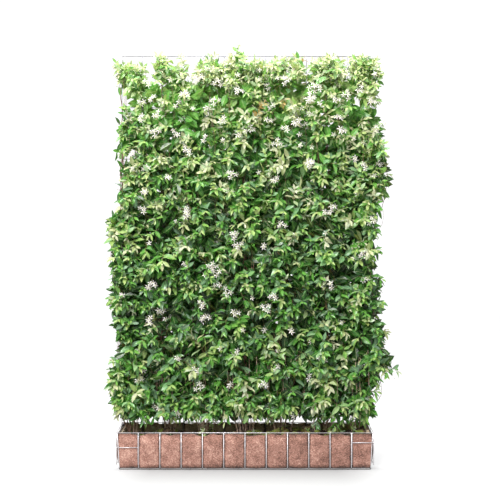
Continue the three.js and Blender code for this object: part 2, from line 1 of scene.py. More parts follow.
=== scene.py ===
"""A star jasmine screen: seven climbing plants on a galvanised wire trellis, which grow
in a long coir liner in a wire basket.

Lengths are in metres, in the model's own frame: X along the screen, Y towards its back,
Z up. Every random draw comes from one seeded generator, and the noise is seeded too.
"""

import math
import random

import bmesh
import bpy
import numpy as np
from mathutils import Matrix, Vector, noise
from mathutils.bvhtree import BVHTree


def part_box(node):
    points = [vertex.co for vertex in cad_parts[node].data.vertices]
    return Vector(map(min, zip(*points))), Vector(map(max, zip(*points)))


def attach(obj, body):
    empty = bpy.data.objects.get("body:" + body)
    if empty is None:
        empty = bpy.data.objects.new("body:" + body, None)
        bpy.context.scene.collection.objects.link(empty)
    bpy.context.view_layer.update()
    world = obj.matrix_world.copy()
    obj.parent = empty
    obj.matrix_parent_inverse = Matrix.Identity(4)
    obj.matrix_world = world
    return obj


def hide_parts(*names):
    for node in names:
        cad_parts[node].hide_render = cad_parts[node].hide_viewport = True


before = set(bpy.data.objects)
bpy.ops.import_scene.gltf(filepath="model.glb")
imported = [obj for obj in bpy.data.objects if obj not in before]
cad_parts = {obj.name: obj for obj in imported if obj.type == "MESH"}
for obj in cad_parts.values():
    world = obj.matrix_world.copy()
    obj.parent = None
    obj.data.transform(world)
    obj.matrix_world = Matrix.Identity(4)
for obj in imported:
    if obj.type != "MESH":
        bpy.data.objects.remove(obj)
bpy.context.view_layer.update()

SEED = 11
draw = random.Random(SEED)
noise.seed_set(SEED)

MM = 0.001
UP = Vector((0, 0, 1))
# What counts as the same place.
NEAR = 1e-5
# The most, in radians, of a random turn: nearly all the way round.
FULL_TURN = 6
PLANTS = 7
PLANT_STEP = 0.2
# Each plant's crown stands at this share of its x on the trellis, nearer the middle.
CROWN_SHARE = 0.93

# ---- basket and trellis
LENGTH = 1.2
DEPTH = 0.2
PITCH = 0.1
HOOPS = 13
WIRE_RADIUS = 1.7 * MM
THIN_WIRE_RADIUS = 1.6 * MM
WELD_RADIUS = 2.7 * MM
# How far a wire stands out past the last one that it crosses.
OVERHANG = 2 * MM
BASKET_TOP = 0.175
BASKET_LEAN = 0.010
HOOP_CORNER = 9 * MM
TRELLIS_Y = 0.050
TRELLIS_FOOT = 0.042
TRELLIS_TOP = 1.974
RAIL_Y = 0.0536
RAIL_FIRST = 0.220
RAIL_STEP = 0.250
RAILS = 8
PANEL_FOOT = 0.024
PANEL_Y = DEPTH / 2 + 4.3 * MM
PANEL_X = LENGTH / 2 + 4.3 * MM
PANEL_RAILS = {"end_panel_left": (-1, 0.105), "end_panel_right": (1, 0.128)}

# ---- liner and soil
LINER_END = 0.5877
LINER_HALF = 0.0977
LINER_WALL = 0.012
LINER_RIM = 0.1705
LINER_FOOT = 0.0043
LINER_FLOOR = 0.0185
LINER_ROUND = 0.012
RIM_ROUND = 0.0045
INNER_END = LINER_END - LINER_WALL
INNER_HALF = LINER_HALF - LINER_WALL
FIBRES = 1700
CRUMBS = 650
SMALL_CUSHIONS = 90
SOIL_LOW = 0.118
SOIL_HIGH = 0.150
ROOT_BALLS = (0.014, 0.050, 0.030, 0.044, 0.034, 0.030, 0.030)

# Moss cushions, as x, y, radius and height.
MOSS_CUSHIONS = [
    (0.530, 0.040, 0.045, 0.011), (0.500, 0.060, 0.040, 0.016), (0.555, -0.02, 0.028, 0.010),
    (0.455, 0.052, 0.042, 0.013), (0.40, 0.02, 0.030, 0.010), (0.30, 0.055, 0.034, 0.014),
    (0.355, 0.062, 0.036, 0.016), (0.24, 0.060, 0.032, 0.013), (0.420, 0.068, 0.034, 0.015),
]

# ---- plants
LEADER_Y = 0.0437
STRANDS = 3
TWIST_LENGTH = 0.19
CANES_PER_PLANT = 40
SHOOTS_PER_PLANT = 335
CROWN_SHOOTS_PER_PLANT = 62
LOW_SHOOTS_PER_PLANT = 36
SHADE_LEAVES_PER_PLANT = 1250
YOUNG_STEMS_PER_PLANT = 12
SHOOTS_PER_TIP = 3
FLOWERS_BEHIND = 46
LEAF_LENGTH = 0.058
LEAF_WIDTH = 0.0215

# The y between which the model's foliage faces the trellis, where no shoot grows.
BY_TRELLIS = (0.034, 0.060)

# The room that the foliage has, and the tallest tip that stands out of it.
FOLIAGE_FRONT = -0.150
FOLIAGE_BACK = 0.196
LOWEST_TIP = 0.17
FOLIAGE_FOOT = 0.235
FOLIAGE_TOP = 1.985
TALLEST_TIP = 2.045

# How far the shoots that stand out at the sides may pass them.
SPARE = 0.022

# What lies between these shares of a shoot's width and height stays out of thin spots.
HEART = (0.23, 0.77)

# Leaf ages run from 0, old, to 1. Only shoots younger than the first of these turn orange.
ORANGE_FROM = 0.64
PALEST_AGE = 0.84
ORANGE_AGE = 0.98

# How far the foliage reaches to the left and to the right, as heights and the x at each.
LEFT_EDGE = (
    [0.24, 0.30, 0.41, 0.47, 0.55, 0.64, 0.72, 0.80, 0.88, 1.00, 1.14, 1.18, 1.22, 1.45, 1.55, 1.75, 2.0],
    [
        -0.64, -0.66, -0.70, -0.67, -0.64, -0.655, -0.66, -0.68, -0.66, -0.67, -0.70, -0.70, -0.64, -0.62,
        -0.64, -0.61, -0.63,
    ],
)
RIGHT_EDGE = (
    [
        0.24, 0.35, 0.44, 0.48, 0.53, 0.62, 0.70, 0.80, 0.92, 1.02, 1.20, 1.27, 1.35, 1.42, 1.50, 1.65,
        1.80, 2.0,
    ],
    [
        0.63, 0.66, 0.68, 0.755, 0.70, 0.71, 0.69, 0.69, 0.66, 0.66, 0.67, 0.68, 0.73, 0.73, 0.71, 0.68,
        0.66, 0.64,
    ],
)

# Where the top is thin and shows the trellis: the middle, half width and half height of each.
THIN_SPOTS = [
    (-0.460, 1.895, 0.018, 0.058), (-0.546, 1.945, 0.022, 0.022), (-0.264, 1.905, 0.015, 0.040),
    (0.302, 1.905, 0.011, 0.042), (0.498, 1.905, 0.012, 0.042), (0.550, 1.745, 0.014, 0.010),
    (-0.445, 1.720, 0.014, 0.012), (-0.360, 1.940, 0.008, 0.014), (0.375, 1.748, 0.006, 0.008),
    (-0.555, 1.758, 0.010, 0.012), (-0.535, 1.497, 0.020, 0.008),
]

# Shoots that stand out of the top, as the x and the height of the tip.
TOP_TIPS = [
    (-0.545, 1.948), (-0.405, 1.963), (-0.285, 1.975), (-0.258, 1.986), (-0.225, 1.960), (-0.115, 1.955),
    (-0.033, 2.004), (-0.010, 1.975), (0.055, 1.950), (0.160, 1.962), (0.225, 1.974), (0.255, 1.988),
    (0.350, 1.972), (0.385, 1.978), (0.418, 1.985), (0.470, 1.955), (0.595, 1.968), (0.618, 1.978),
    (-0.033, 2.026),
]

# Shoots that stand out at the sides: -1 for the left or 1, and the height and x of the tip.
EDGE_SHOOTS = [
    (-1, 1.150, -0.692), (-1, 1.09, -0.694), (-1, 0.936, -0.655), (-1, 0.784, -0.672), (-1, 0.404, -0.698),
    (-1, 0.33, -0.662), (1, 1.391, 0.728), (1, 1.467, 0.705), (1, 0.480, 0.752), (1, 0.555, 0.700),
    (1, 1.30, 0.70), (1, 1.75, 0.660), (1, 0.40, 0.655), (-1, 1.755, -0.625),
]

# Flower clusters beside those of the model, as (x, z) in millimetres.
MORE_FLOWERS = [
    (-310, 1740), (-410, 1670), (-340, 1600), (-320, 1575), (-285, 1530), (-365, 1370), (-470, 1305),
    (-525, 1410), (-140, 1735), (-190, 1560), (-105, 1545), (-35, 1575), (-80, 1305), (-130, 1825),
    (-35, 1855), (265, 1705), (310, 1680), (125, 1715), (115, 1650), (195, 1605), (95, 1600),
    (150, 1540), (260, 1520), (315, 1525), (520, 1570), (615, 1600), (530, 1465), (65, 1405),
    (145, 1365), (535, 1305), (620, 1385), (645, 1445), (345, 1810), (-540, 1180), (-330, 1160),
    (-455, 1060), (-100, 1215), (-105, 1105), (-155, 960), (-135, 865), (-80, 830), (-100, 705),
    (-45, 730), (-375, 705), (-450, 690), (-5, 650), (-200, 775), (-400, 740), (410, 1230),
    (595, 1170), (175, 1145), (245, 1105), (385, 1110), (90, 1045), (515, 990), (570, 885),
    (30, 805), (100, 755), (460, 690), (95, 645), (220, 640), (-535, 540), (-115, 565), (-40, 535),
    (-325, 515), (-220, 465), (-100, 465), (-490, 445), (-75, 395), (-220, 385), (155, 545),
    (365, 520), (495, 525), (145, 470), (-100, 1865), (75, 1850), (65, 1880), (-75, 1815),
    (115, 1815), (120, 1905), (215, 1890), (145, 1865), (-35, 1780), (245, 1655), (20, 1605),
    (-175, 1890), (-185, 1710), (-440, 1745), (-460, 1830), (-495, 1735), (-325, 1715), (-255, 1700),
    (-425, 1590), (-535, 1490), (-515, 1495), (-285, 1435), (-470, 1420), (-235, 1845), (-350, 1845),
    (-305, 1660), (160, 1845), (310, 1750), (285, 1630), (265, 1580), (425, 1585), (465, 1600),
    (660, 1640), (505, 1730), (485, 1765), (360, 1725), (430, 1740), (545, 1790), (605, 1730),
    (320, 1805), (445, 1665), (570, 1540), (620, 1860), (300, 1435), (-500, 1235), (-310, 1220),
    (-275, 1220), (-45, 1105), (-35, 1050), (-150, 935), (-195, 915), (-285, 960), (-460, 850),
    (-200, 705), (-580, 810), (-300, 775), (-425, 275), (-318, 252), (223, 245), (356, 264), (326, 400),
]

# Below this height, in millimetres, clusters hang from the lowest twigs.
LOWEST_SKIN = 300

# Weeds and young shoots in the soil, as (x, y) in millimetres and their size.
SPROUTS = [
    (-205, -35, 0.66), (-190, -25, 0.58), (435, -40, 0.56), (455, -20, 0.56), (418, -30, 0.44),
    (300, -20, 0.40), (60, -15, 0.38), (-350, -20, 0.34), (-505, -25, 0.38), (520, -10, 0.46),
    (190, 10, 0.40), (-80, -20, 0.34), (345, 20, 0.44), (-430, 30, 0.36), (550, 10, 0.42),
]


def plant_x(index):
    return -LENGTH / 2 + index * PLANT_STEP


def drawn_vector(low, high):
    """A random vector, each of whose numbers is between low and high."""
    return Vector([draw.uniform(low, high) for _ in range(3)])


def soil_height(x, y):
    """The soil rises to the right, is uneven and heaps up over each plant's ball of roots."""
    along = (x + LENGTH / 2) / LENGTH
    wave = 0.006 * math.sin(x / 0.070) * math.cos(y / 0.040 + x / 0.110)
    heap = sum(
        height * math.exp(-(((x - CROWN_SHARE * plant_x(k)) / 0.048) ** 2) - ((y - 0.035) / 0.045) ** 2)
        for k, height in enumerate(ROOT_BALLS)
    )
    return SOIL_LOW + (SOIL_HIGH - SOIL_LOW) * along + wave + heap


# ---- materials
def linear(hex_colour):
    """An sRGB hex colour as linear RGBA."""
    channels = [int(hex_colour[i : i + 2], 16) / 255 for i in (1, 3, 5)]
    return [c / 12.92 if c <= 0.04045 else ((c + 0.055) / 1.055) ** 2.4 for c in channels] + [1.0]


def per(millimetres):
    """The scale at which a pattern on Object coordinates repeats every so many millimetres."""
    return 1000 / millimetres


class Look:
    """A new material and its nodes. Patterns lie on Object coordinates."""

    def __init__(self, name):
        self.material = bpy.data.materials.new(name)
        self.material.use_nodes = True
        self.tree = self.material.node_tree
        self.tree.nodes.clear()
        self.place = self.node("TexCoord").outputs["Object"]

    def node(self, kind, inputs=None, **settings):
        """Adds a node. An input is a value, or another node's output, which is linked."""
        made = self.tree.nodes.new("ShaderNode" + kind)
        for name, value in settings.items():
            setattr(made, name, value)
        for name, value in (inputs or {}).items():
            if isinstance(value, bpy.types.NodeSocket):
                self.tree.links.new(value, made.inputs[name])
            else:
                made.inputs[name].default_value = value
        return made

    def axes(self):
        """The Object coordinates, by axis."""
        return self.node("SeparateXYZ", {"Vector": self.place}).outputs

    def blade(self):
        """Where on its leaf or petal a point is: X along it and Y across, from 0 to 1."""
        spot = self.node("UVMap", uv_map="blade").outputs["UV"]
        return self.node("SeparateXYZ", {"Vector": spot}).outputs

    def noise(self, size, detail, rough=0.5, place=None, **more):
        """Noise that repeats every so many millimetres."""
        inputs = {
            "Vector": self.place if place is None else place,
            "Scale": per(size), "Detail": detail, "Roughness": rough, **more,
        }
        return self.node("TexNoise", inputs).outputs["Fac"]

    def math(self, operation, *values):
        """Arithmetic on up to three values."""
        return self.node("Math", dict(enumerate(values)), operation=operation).outputs[0]

    def span(self, value, ends=(0, 1), results=(0, 1)):
        """A value between the two ends, as one between the two results."""
        ranges = zip(("From Min", "From Max", "To Min", "To Max"), (*ends, *results))
        return self.node("MapRange", {"Value": value, **dict(ranges)}).outputs["Result"]

    def ramp(self, value, stops):
        """The colour at a value, between the stops."""
        made = self.node("ValToRGB", {"Fac": value})
        elements = made.color_ramp.elements
        while len(elements) < len(stops):
            elements.new(1.0)
        for element, (position, colour) in zip(elements, stops):
            element.position = position
            element.color = linear(colour)
        return made.outputs["Color"]

    def mix(self, share, first, second, blend="MIX"):
        """The first colour with a share of the second."""
        if isinstance(second, str):
            second = linear(second)
        inputs = {0: share, 6: first, 7: second}
        return self.node("Mix", inputs, data_type="RGBA", blend_type=blend).outputs[2]

    def finish(self, colour, rough, bump=None, through=None, **more):
        """The finished material. bump is a height, how strongly it shows and how many
        millimetres deep it is; through is the share of light let through and its colour."""
        inputs = {"Base Color": colour, "Roughness": rough, **more}
        if bump:
            height, strength, depth = bump
            raised = self.node("Bump", {"Height": height, "Strength": strength, "Distance": depth * MM})
            inputs["Normal"] = raised.outputs["Normal"]
        face = self.node("BsdfPrincipled", inputs).outputs[0]
        if through:
            share, tint = through
            lit = self.node("BsdfTranslucent", {"Color": tint}).outputs[0]
            face = self.node("MixShader", {0: share, 1: face, 2: lit}).outputs[0]
        self.node("OutputMaterial", {"Surface": face})
        return self.material


def glossy_leathery_leaf():
    """Star jasmine leaf: a thin leathery blade with a waxed upper face. Old leaves are a deep green that
    shows the sky as a pale sheen, new ones a soft yellow green, and light comes through. Some are painted a
    pale grey green, partly as the paler underside and partly as a painted sheen of the sky, and a few are
    dying. The rib and its side veins are paler and lie a little below the face."""
    look = Look("glossy_leathery_leaf")
    age = look.node("Attribute", attribute_name="age").outputs["Fac"]
    sheen_and_dying = look.node("Attribute", attribute_name="sheen_and_dying").outputs["Fac"]
    blade = look.blade()
    mottle = look.noise(14, 3.0)
    tone = look.math("ADD", age, look.span(mottle, (0.3, 0.7), (-0.07, 0.07)))
    greens = look.ramp(
        tone,
        [
            (0.0, "#0f2809"), (0.18, "#2b611f"), (0.36, "#5c9a3d"), (0.54, "#98b065"),
            (0.72, "#b8ba8e"), (0.88, "#c0c1a8"), (1.0, "#b08d48"),
        ],
    )
    # Painted sheen: leaves with a high value are mixed towards a pale grey green, partly the paler underside
    # and partly a painted reflection of the sky.
    dull = look.mix(look.span(sheen_and_dying, (0.5, 1.0), (0.0, 0.55)), greens, "#8fab97")
    dying = look.mix(look.span(sheen_and_dying, (0.008, 0.02), (0.6, 0.0)), dull, "#86602f")
    from_rib = look.math("ABSOLUTE", look.math("SUBTRACT", blade["Y"], 0.5))
    rib = look.span(from_rib, (0.02, 0.07), (0.5, 0.0))
    # Seven side veins a side, which leave the rib at a slant.
    slant = look.math("MULTIPLY_ADD", from_rib, -0.45, blade["X"])
    row = look.math("PINGPONG", look.math("MULTIPLY", slant, 7.0), 1.0)
    lines = look.math("MAXIMUM", rib, look.span(row, (0.0, 0.16), (0.22, 0.0)))
    colour = look.mix(lines, dying, "#a8bd7c")
    rough = look.span(look.noise(30, 2.0), (0.3, 0.7), (0.24, 0.42))
    height = look.math("MULTIPLY_ADD", lines, -1.0, mottle)
    lit = look.node("HueSaturation", {"Color": colour, "Hue": 0.485, "Saturation": 1.1, "Value": 1.5})
    return look.finish(colour, rough, (height, 0.35, 0.6), (0.28, lit.outputs["Color"]), IOR=1.48)


def jasmine_petal():
    """White petal: soft and matt with a velvet face that lets light through, cream to pale
    yellow-green in the throat and along the tube."""
    look = Look("jasmine_petal")
    stops = [(0.0, "#cdcf98"), (0.14, "#e3dcc4"), (0.30, "#ece5e0"), (1.0, "#eee8e7")]
    whites = look.ramp(look.blade()["X"], stops)
    grain = look.noise(2.5, 2.0)
    rough = look.span(grain, results=(0.45, 0.65))
    return look.finish(whites, rough, (grain, 0.2, 0.3), (0.35, whites), IOR=1.4)


def green_twig():
    """This year's twig: smooth and green, flushed with brown in patches."""
    look = Look("green_twig")
    flush = look.noise(25, 3.0)
    colour = look.ramp(flush, [(0.36, "#6e4531"), (0.5, "#7c7444"), (0.68, "#9aa862")])
    return look.finish(colour, look.span(flush, results=(0.4, 0.6)), (flush, 0.3, 0.4), IOR=1.45)


def woody_vine_bark(name, browns):
    """Bark of a climbing stem: brown and dull, with paler ridges and dark furrows that run
    along it, 2 mm apart."""
    look = Look(name)
    drawn_out = look.node("Mapping", {"Vector": look.place, "Scale": (1.0, 1.0, 0.12)}).outputs[0]
    ridges = look.noise(2, 4.0, 0.65, drawn_out)
    bark = look.ramp(ridges, browns)
    stained = look.mix(look.noise(45, 2.0), bark, "#7a5344", "MULTIPLY")
    colour = look.mix(0.45, stained, bark)
    return look.finish(colour, look.span(ridges, results=(0.95, 0.7)), (ridges, 0.8, 1.0), IOR=1.5)


def galvanised_wire(name, zincs):
    """Hot-dip galvanised steel wire: grey zinc with cloudy patches about 8 mm long, half dull and half
    bright, and a few drips that stand out of it. A darker copy is painted shade for wires that stand in
    shade, and near the ground the wires are painted dark grey-brown as shade and are less metallic."""
    look = Look(name)
    clouds = look.noise(8, 4.0, 0.6)
    tone = look.math("MULTIPLY_ADD", look.noise(120, 1.0), 0.9, clouds)
    zinc = look.ramp(look.span(tone, (0.65, 1.25)), zincs)
    up, ground_shade_top = look.axes()["Z"], (5 * MM, 11 * MM)
    # Painted shade: dark grey-brown from the ground up to 5 mm, fading out by 11 mm, and the metal is less
    # metallic there.
    colour = look.mix(look.span(up, ground_shade_top, (0.95, 0.0)), zinc, "#4a3c34")
    rough = look.span(clouds, (0.3, 0.7), (0.62, 0.36))
    bare_metal = look.span(up, ground_shade_top, (0.05, 0.7))
    return look.finish(colour, rough, (look.noise(3, 2.0), 0.35, 0.5), Metallic=bare_metal)


def needled_coir(name, browns):
    """Coconut fibre needled into a mat: short fibres that cross at every angle, some straw pale and some
    nearly black, with soft lumps, and darker towards the foot. Painted shade lies under the rim and beside
    each wire, and painted light on the left end. Real fibres are 0.3 mm wide, too fine to show, so they are
    drawn 1.5 mm wide and 10 mm long."""
    look = Look(name)
    layers = []
    for turn in (0.5, -0.75, 1.45):
        drawn_out = {"Vector": look.place, "Rotation": (0.0, turn, turn / 3), "Scale": (0.16, 1.0, 1.0)}
        layers.append(look.noise(1.8, 2.0, place=look.node("Mapping", drawn_out).outputs[0], Distortion=0.5))
    fibres = look.math("ADD", look.math("MAXIMUM", layers[0], layers[1]), layers[2])
    tufts = look.noise(4.5, 3.0, 0.7)
    speckle = look.math("MULTIPLY_ADD", tufts, 1.9, fibres)
    tone = look.math("MULTIPLY_ADD", look.noise(50, 3.0), 1.1, speckle)
    axes = look.axes()
    # Darker towards the foot. Painted shade lies just below the rim, where the top rail shades it, and
    # beside each wire, where the mat is pressed in.
    damp = look.span(axes["Z"], (4 * MM, 28 * MM), (0.6, 0.0))
    # Painted shade: darker just below the rim.
    painted_rim_shade = look.span(axes["Z"], (LINER_RIM - 20 * MM, LINER_RIM - 4 * MM), (0.0, 0.3))
    # Painted shade: darker within 2 to 10 mm of each wire, as in the groove where the mat meets it.
    from_wire = look.math("PINGPONG", axes["X"], PITCH / 2)
    painted_wire_shade = look.span(from_wire, (2 * MM, 10 * MM), (0.6, 0.0))
    tone_after_foot_and_rim = look.math("SUBTRACT", tone, look.math("ADD", damp, painted_rim_shade))
    tone_after_wire_shade = look.math("SUBTRACT", tone_after_foot_and_rim, painted_wire_shade)
    # Painted light: the left end, towards the key light, is a little lighter.
    painted_key_light = look.span(axes["X"], (-0.6, 0.6), (0.14, -0.02))
    tone_with_key_light = look.math("ADD", tone_after_wire_shade, painted_key_light)
    colour = look.ramp(look.span(tone_with_key_light, (1.98, 3.18)), browns)
    rough = look.span(fibres, results=(1.0, 0.85))
    sheen = {"Sheen Weight": 0.15, "Sheen Roughness": 0.6}
    return look.finish(colour, rough, (look.math("ADD", fibres, tufts), 0.9, 2.0), IOR=1.5, **sheen)


def moist_potting_soil():
    """Peat compost: near black where moist, brown where it has dried, in 3 mm crumbs."""
    look = Look("moist_potting_soil")
    crumbs = look.node("TexVoronoi", {"Vector": look.place, "Scale": per(3)}).outputs["Distance"]
    damp = look.noise(60, 4.0)
    tone = look.math("MULTIPLY_ADD", crumbs, -0.25, damp)
    colour = look.ramp(tone, [(0.2, "#1a130d"), (0.4, "#3a2b1d"), (0.6, "#735b42")])
    return look.finish(colour, look.span(damp, results=(0.7, 1.0)), (crumbs, 0.8, 1.5), IOR=1.5)


def cushion_moss():
    """Moss on compost: dull olive cushions with brighter tips and brown dead patches."""
    look = Look("cushion_moss")
    tips = look.noise(4, 5.0, 0.7)
    greens = look.ramp(tips, [(0.3, "#353c16"), (0.5, "#66702c"), (0.7, "#a3a650")])
    colour = look.mix(look.span(look.noise(35, 2.0), (0.5, 0.62)), greens, "#6b5335")
    return look.finish(colour, look.span(tips, results=(0.8, 1.0)), (tips, 1.0, 2.0), IOR=1.5)


def white_studio_acrylic(name, colour, glow, shadow_share):
    """Opal acrylic lit from behind, as under and behind goods in a studio: even white, with the softest of
    shadows. glow is the light that comes through it. Along the planter's front foot, and just past its ends,
    a soft shadow is painted into that light: there it falls to a share of glow."""
    look = Look(name)
    axes = look.axes()
    past_end = look.math("SUBTRACT", look.math("ABSOLUTE", axes["X"]), LENGTH / 2 - 0.18)
    sideways = look.math("MAXIMUM", look.math("MULTIPLY", past_end, 1.6), 0.0)
    # The painted shadow reaches only a few centimetres behind the front.
    ahead = look.math("MULTIPLY_ADD", axes["Y"], -1.0, -DEPTH / 2)
    forwards = look.math("MAXIMUM", ahead, look.math("MULTIPLY", ahead, -8.0))
    away = look.node("CombineXYZ", {"X": sideways, "Y": forwards}).outputs[0]
    distance = look.node("VectorMath", {0: away}, operation="LENGTH").outputs["Value"]
    # Painted shadow: the glow drops to a share of itself at the planter's front foot and rises back over 55
    # cm.
    light = look.span(distance, (0, 0.55), (glow * shadow_share, glow))
    lit = {"Emission Color": linear("#ffffff"), "Emission Strength": light}
    return look.finish(linear(colour), look.span(look.noise(2000, 2.0), results=(0.8, 0.9)), **lit)


LEAF = glossy_leathery_leaf()
PETAL = jasmine_petal()
TWIG = green_twig()
BARK = woody_vine_bark(
    "woody_vine_bark", [(0.30, "#33241b"), (0.46, "#6c4e3e"), (0.60, "#9c7b66"), (0.78, "#c3a892")]
)
# A much paler copy of the bark for the thin stems at the foot, which stand in the foliage's shade: painted
# light.
LIGHTENED_BARK = woody_vine_bark(
    "vine_bark_with_painted_light", [(0.30, "#745a49"), (0.46, "#b59884"), (0.60, "#d6bfac"), (0.78, "#ecdccd")]
)
WIRE = galvanised_wire("galvanised_wire", [(0.0, "#b9b5ba"), (0.5, "#dad6d8"), (1.0, "#f2eff0")])
# A darker copy of the wire for the trellis, which stands in the foliage's shade: painted shade.
SHADED_WIRE = galvanised_wire(
    "galvanised_wire_with_painted_shade", [(0.0, "#5f5f66"), (0.5, "#858388"), (1.0, "#b0aeb0")]
)
COIR = needled_coir(
    "needled_coir",
    [(0.0, "#2e1a12"), (0.25, "#6e493b"), (0.5, "#946859"), (0.75, "#b28676"), (1.0, "#dfbba8")],
)
# Coir for the liner's inner walls: partly a real soil-stained tan, partly painted light, as it is much paler
# than the outer mat to make up for the shade of the foliage above.
STAINED_LIT_COIR = needled_coir(
    "soil_stained_coir_with_painted_light",
    [(0.0, "#54412e"), (0.25, "#9a8163"), (0.5, "#c6ab89"), (0.75, "#dcc5a7"), (1.0, "#eedfc8")],
)
SOIL = moist_potting_soil()
MOSS = cushion_moss()


# ---- mesh helpers
def new_shape():
    """An empty bmesh with the layers that leaves and petals need: where on the blade a point is, how young
    the leaf is and, from 0 to 1, how much painted sheen the leaf gets, the lowest being dying leaves."""
    shape = bmesh.new()
    shape.loops.layers.uv.new("blade")
    shape.verts.layers.float.new("age")
    shape.verts.layers.float.new("sheen_and_dying")
    return shape


def to_mesh(name, shape, materials=(), smooth=True):
    """Turns a bmesh into a mesh with those materials."""
    for face in shape.faces:
        face.smooth = smooth
    mesh = bpy.data.meshes.new(name)
    shape.to_mesh(mesh)
    shape.free()
    for material in materials:
        mesh.materials.append(material)
    return mesh


def in_scene(name, data):
    """Puts an object with that data into the scene."""
    obj = bpy.data.objects.new(name, data)
    bpy.context.collection.objects.link(obj)
    return obj


def finished(name, shape, materials, nodes=()):
    """Makes a bmesh a piece of the object that stands for the named nodes of the model."""
    piece = in_scene(name, to_mesh(name, shape, materials))
    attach(piece, "root")
    if nodes:
        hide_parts(*nodes)


def template(shape):
    """Keeps a bmesh as a mesh to copy from."""
    return to_mesh("template", shape)


def add_copy(shape, mesh, place, age=None):
    """Adds a copy of a template at a place. age is added to the age of its leaves, which turn
    orange only on the very youngest shoots."""
    copy = mesh.copy()
    copy.transform(place)
    if age is not None:
        layer = copy.attributes["age"].data
        ages = np.empty(len(layer), dtype=np.float32)
        layer.foreach_get("value", ages)
        palest = ORANGE_AGE if age > ORANGE_FROM else PALEST_AGE
        layer.foreach_set("value", np.clip(ages + age, 0.02, palest).astype(np.float32))
    shape.from_mesh(copy)
    bpy.data.meshes.remove(copy)


def ring_place(point, ahead, aside, radius):
    """The place of a ring of that radius, square to ahead."""
    over = ahead.cross(aside).normalized()
    turned = Matrix((aside.normalized(), over, ahead.normalized())).transposed().to_4x4()
    return Matrix.Translation(point) @ turned @ Matrix.Diagonal((radius, radius, radius, 1))


def tube(shape, path, radii, sides=8, material=0):
    """A round bar along a path, closed at both ends."""
    aheads = []
    for i in range(len(path)):
        before, after = path[max(i - 1, 0)], path[min(i + 1, len(path) - 1)]
        aheads.append((after - before).normalized())
    aside = aheads[0].orthogonal().normalized()
    start = bmesh.ops.create_circle(shape, cap_ends=False, segments=sides, radius=1)["verts"]
    place = ring_place(path[0], aheads[0], aside, radii[0])
    bmesh.ops.transform(shape, matrix=place, verts=start)
    edges = list({edge for vert in start for edge in vert.link_edges})
    made = bmesh.ops.edgeloop_fill(shape, edges=edges)["faces"]
    for point, ahead, radius in zip(path[1:], aheads[1:], radii[1:]):
        grown = bmesh.ops.extrude_edge_only(shape, edges=edges)["geom"]
        verts = {part for part in grown if isinstance(part, bmesh.types.BMVert)}
        edges = [
            part for part in grown
            if isinstance(part, bmesh.types.BMEdge) and part.verts[0] in verts and part.verts[1] in verts
        ]
        made += [part for part in grown if isinstance(part, bmesh.types.BMFace)]
        aside = (aside - aside.project(ahead)).normalized()
        there = ring_place(point, ahead, aside, radius)
        bmesh.ops.transform(shape, matrix=there @ place.inverted(), verts=list(verts))
        place = there
    made += bmesh.ops.edgeloop_fill(shape, edges=edges)["faces"]
    for face in made:
        face.material_index = material
    bmesh.ops.recalc_face_normals(shape, faces=made)


def smooth_path(points, steps):
    """Points along a smooth curve through the given ones."""
    padded = [points[0]] + list(points) + [points[-1]]
    path = []
    for i in range(1, len(padded) - 2):
        before, start, end, after = padded[i - 1 : i + 3]
        for k in range(steps):
            t = k / steps
            path.append(
                0.5
                * (
                    2 * start
                    + (end - before) * t
                    + (2 * before - 5 * start + 4 * end - after) * t**2
                    + (3 * start - before - 3 * end + after) * t**3
                )
            )
    path.append(points[-1].copy())
    return path


# ---- wire and mesh
def bar(shape, start, end, radius=WIRE_RADIUS):
    """A straight wire."""
    tube(shape, [Vector(start), Vector(end)], [radius, radius])


def weld(shape, point):
    """The flat bead where two wires are welded."""
    made = bmesh.ops.create_icosphere(shape, subdivisions=1, radius=WELD_RADIUS)["verts"]
    bmesh.ops.translate(shape, vec=Vector(point), verts=made)


def wire_x(index):
    """The x of an upright wire, counted from the left."""
    return -LENGTH / 2 + index * PITCH


def wire_basket():
    """Thirteen hoops of wire with rounded corners, held by a rail along each edge. The two
    end hoops lean outwards."""
    shape = bmesh.new()
    reach = DEPTH / 2
    arc = [math.pi / 2 * k / 4 for k in range(5)]
    for i in range(HOOPS):
        x = wire_x(i)
        lean = BASKET_LEAN * ((i == HOOPS - 1) - (i == 0))
        across = [(-reach, BASKET_TOP)]
        for a in arc:
            y = -reach + HOOP_CORNER * (1 - math.cos(a))
            across.append((y, WIRE_RADIUS + HOOP_CORNER * (1 - math.sin(a))))
        across += [(-y, z) for y, z in reversed(across)]
        path = [Vector((x - lean * (1 - z / BASKET_TOP), y, z)) for y, z in across]
        tube(shape, path, [WIRE_RADIUS] * len(path))
    foot = LENGTH / 2 - BASKET_LEAN
    top = BASKET_TOP - WIRE_RADIUS
    for y in (-reach, reach):
        bar(shape, (-LENGTH / 2 - OVERHANG, y, top), (LENGTH / 2 + OVERHANG, y, top))
        bar(shape, (-foot, y, WIRE_RADIUS + 1 * MM), (foot, y, WIRE_RADIUS + 1 * MM))
        for i in range(HOOPS):
            weld(shape, (wire_x(i), y, top))
    finished("basket_wires", shape, [WIRE], ["wire_basket"])


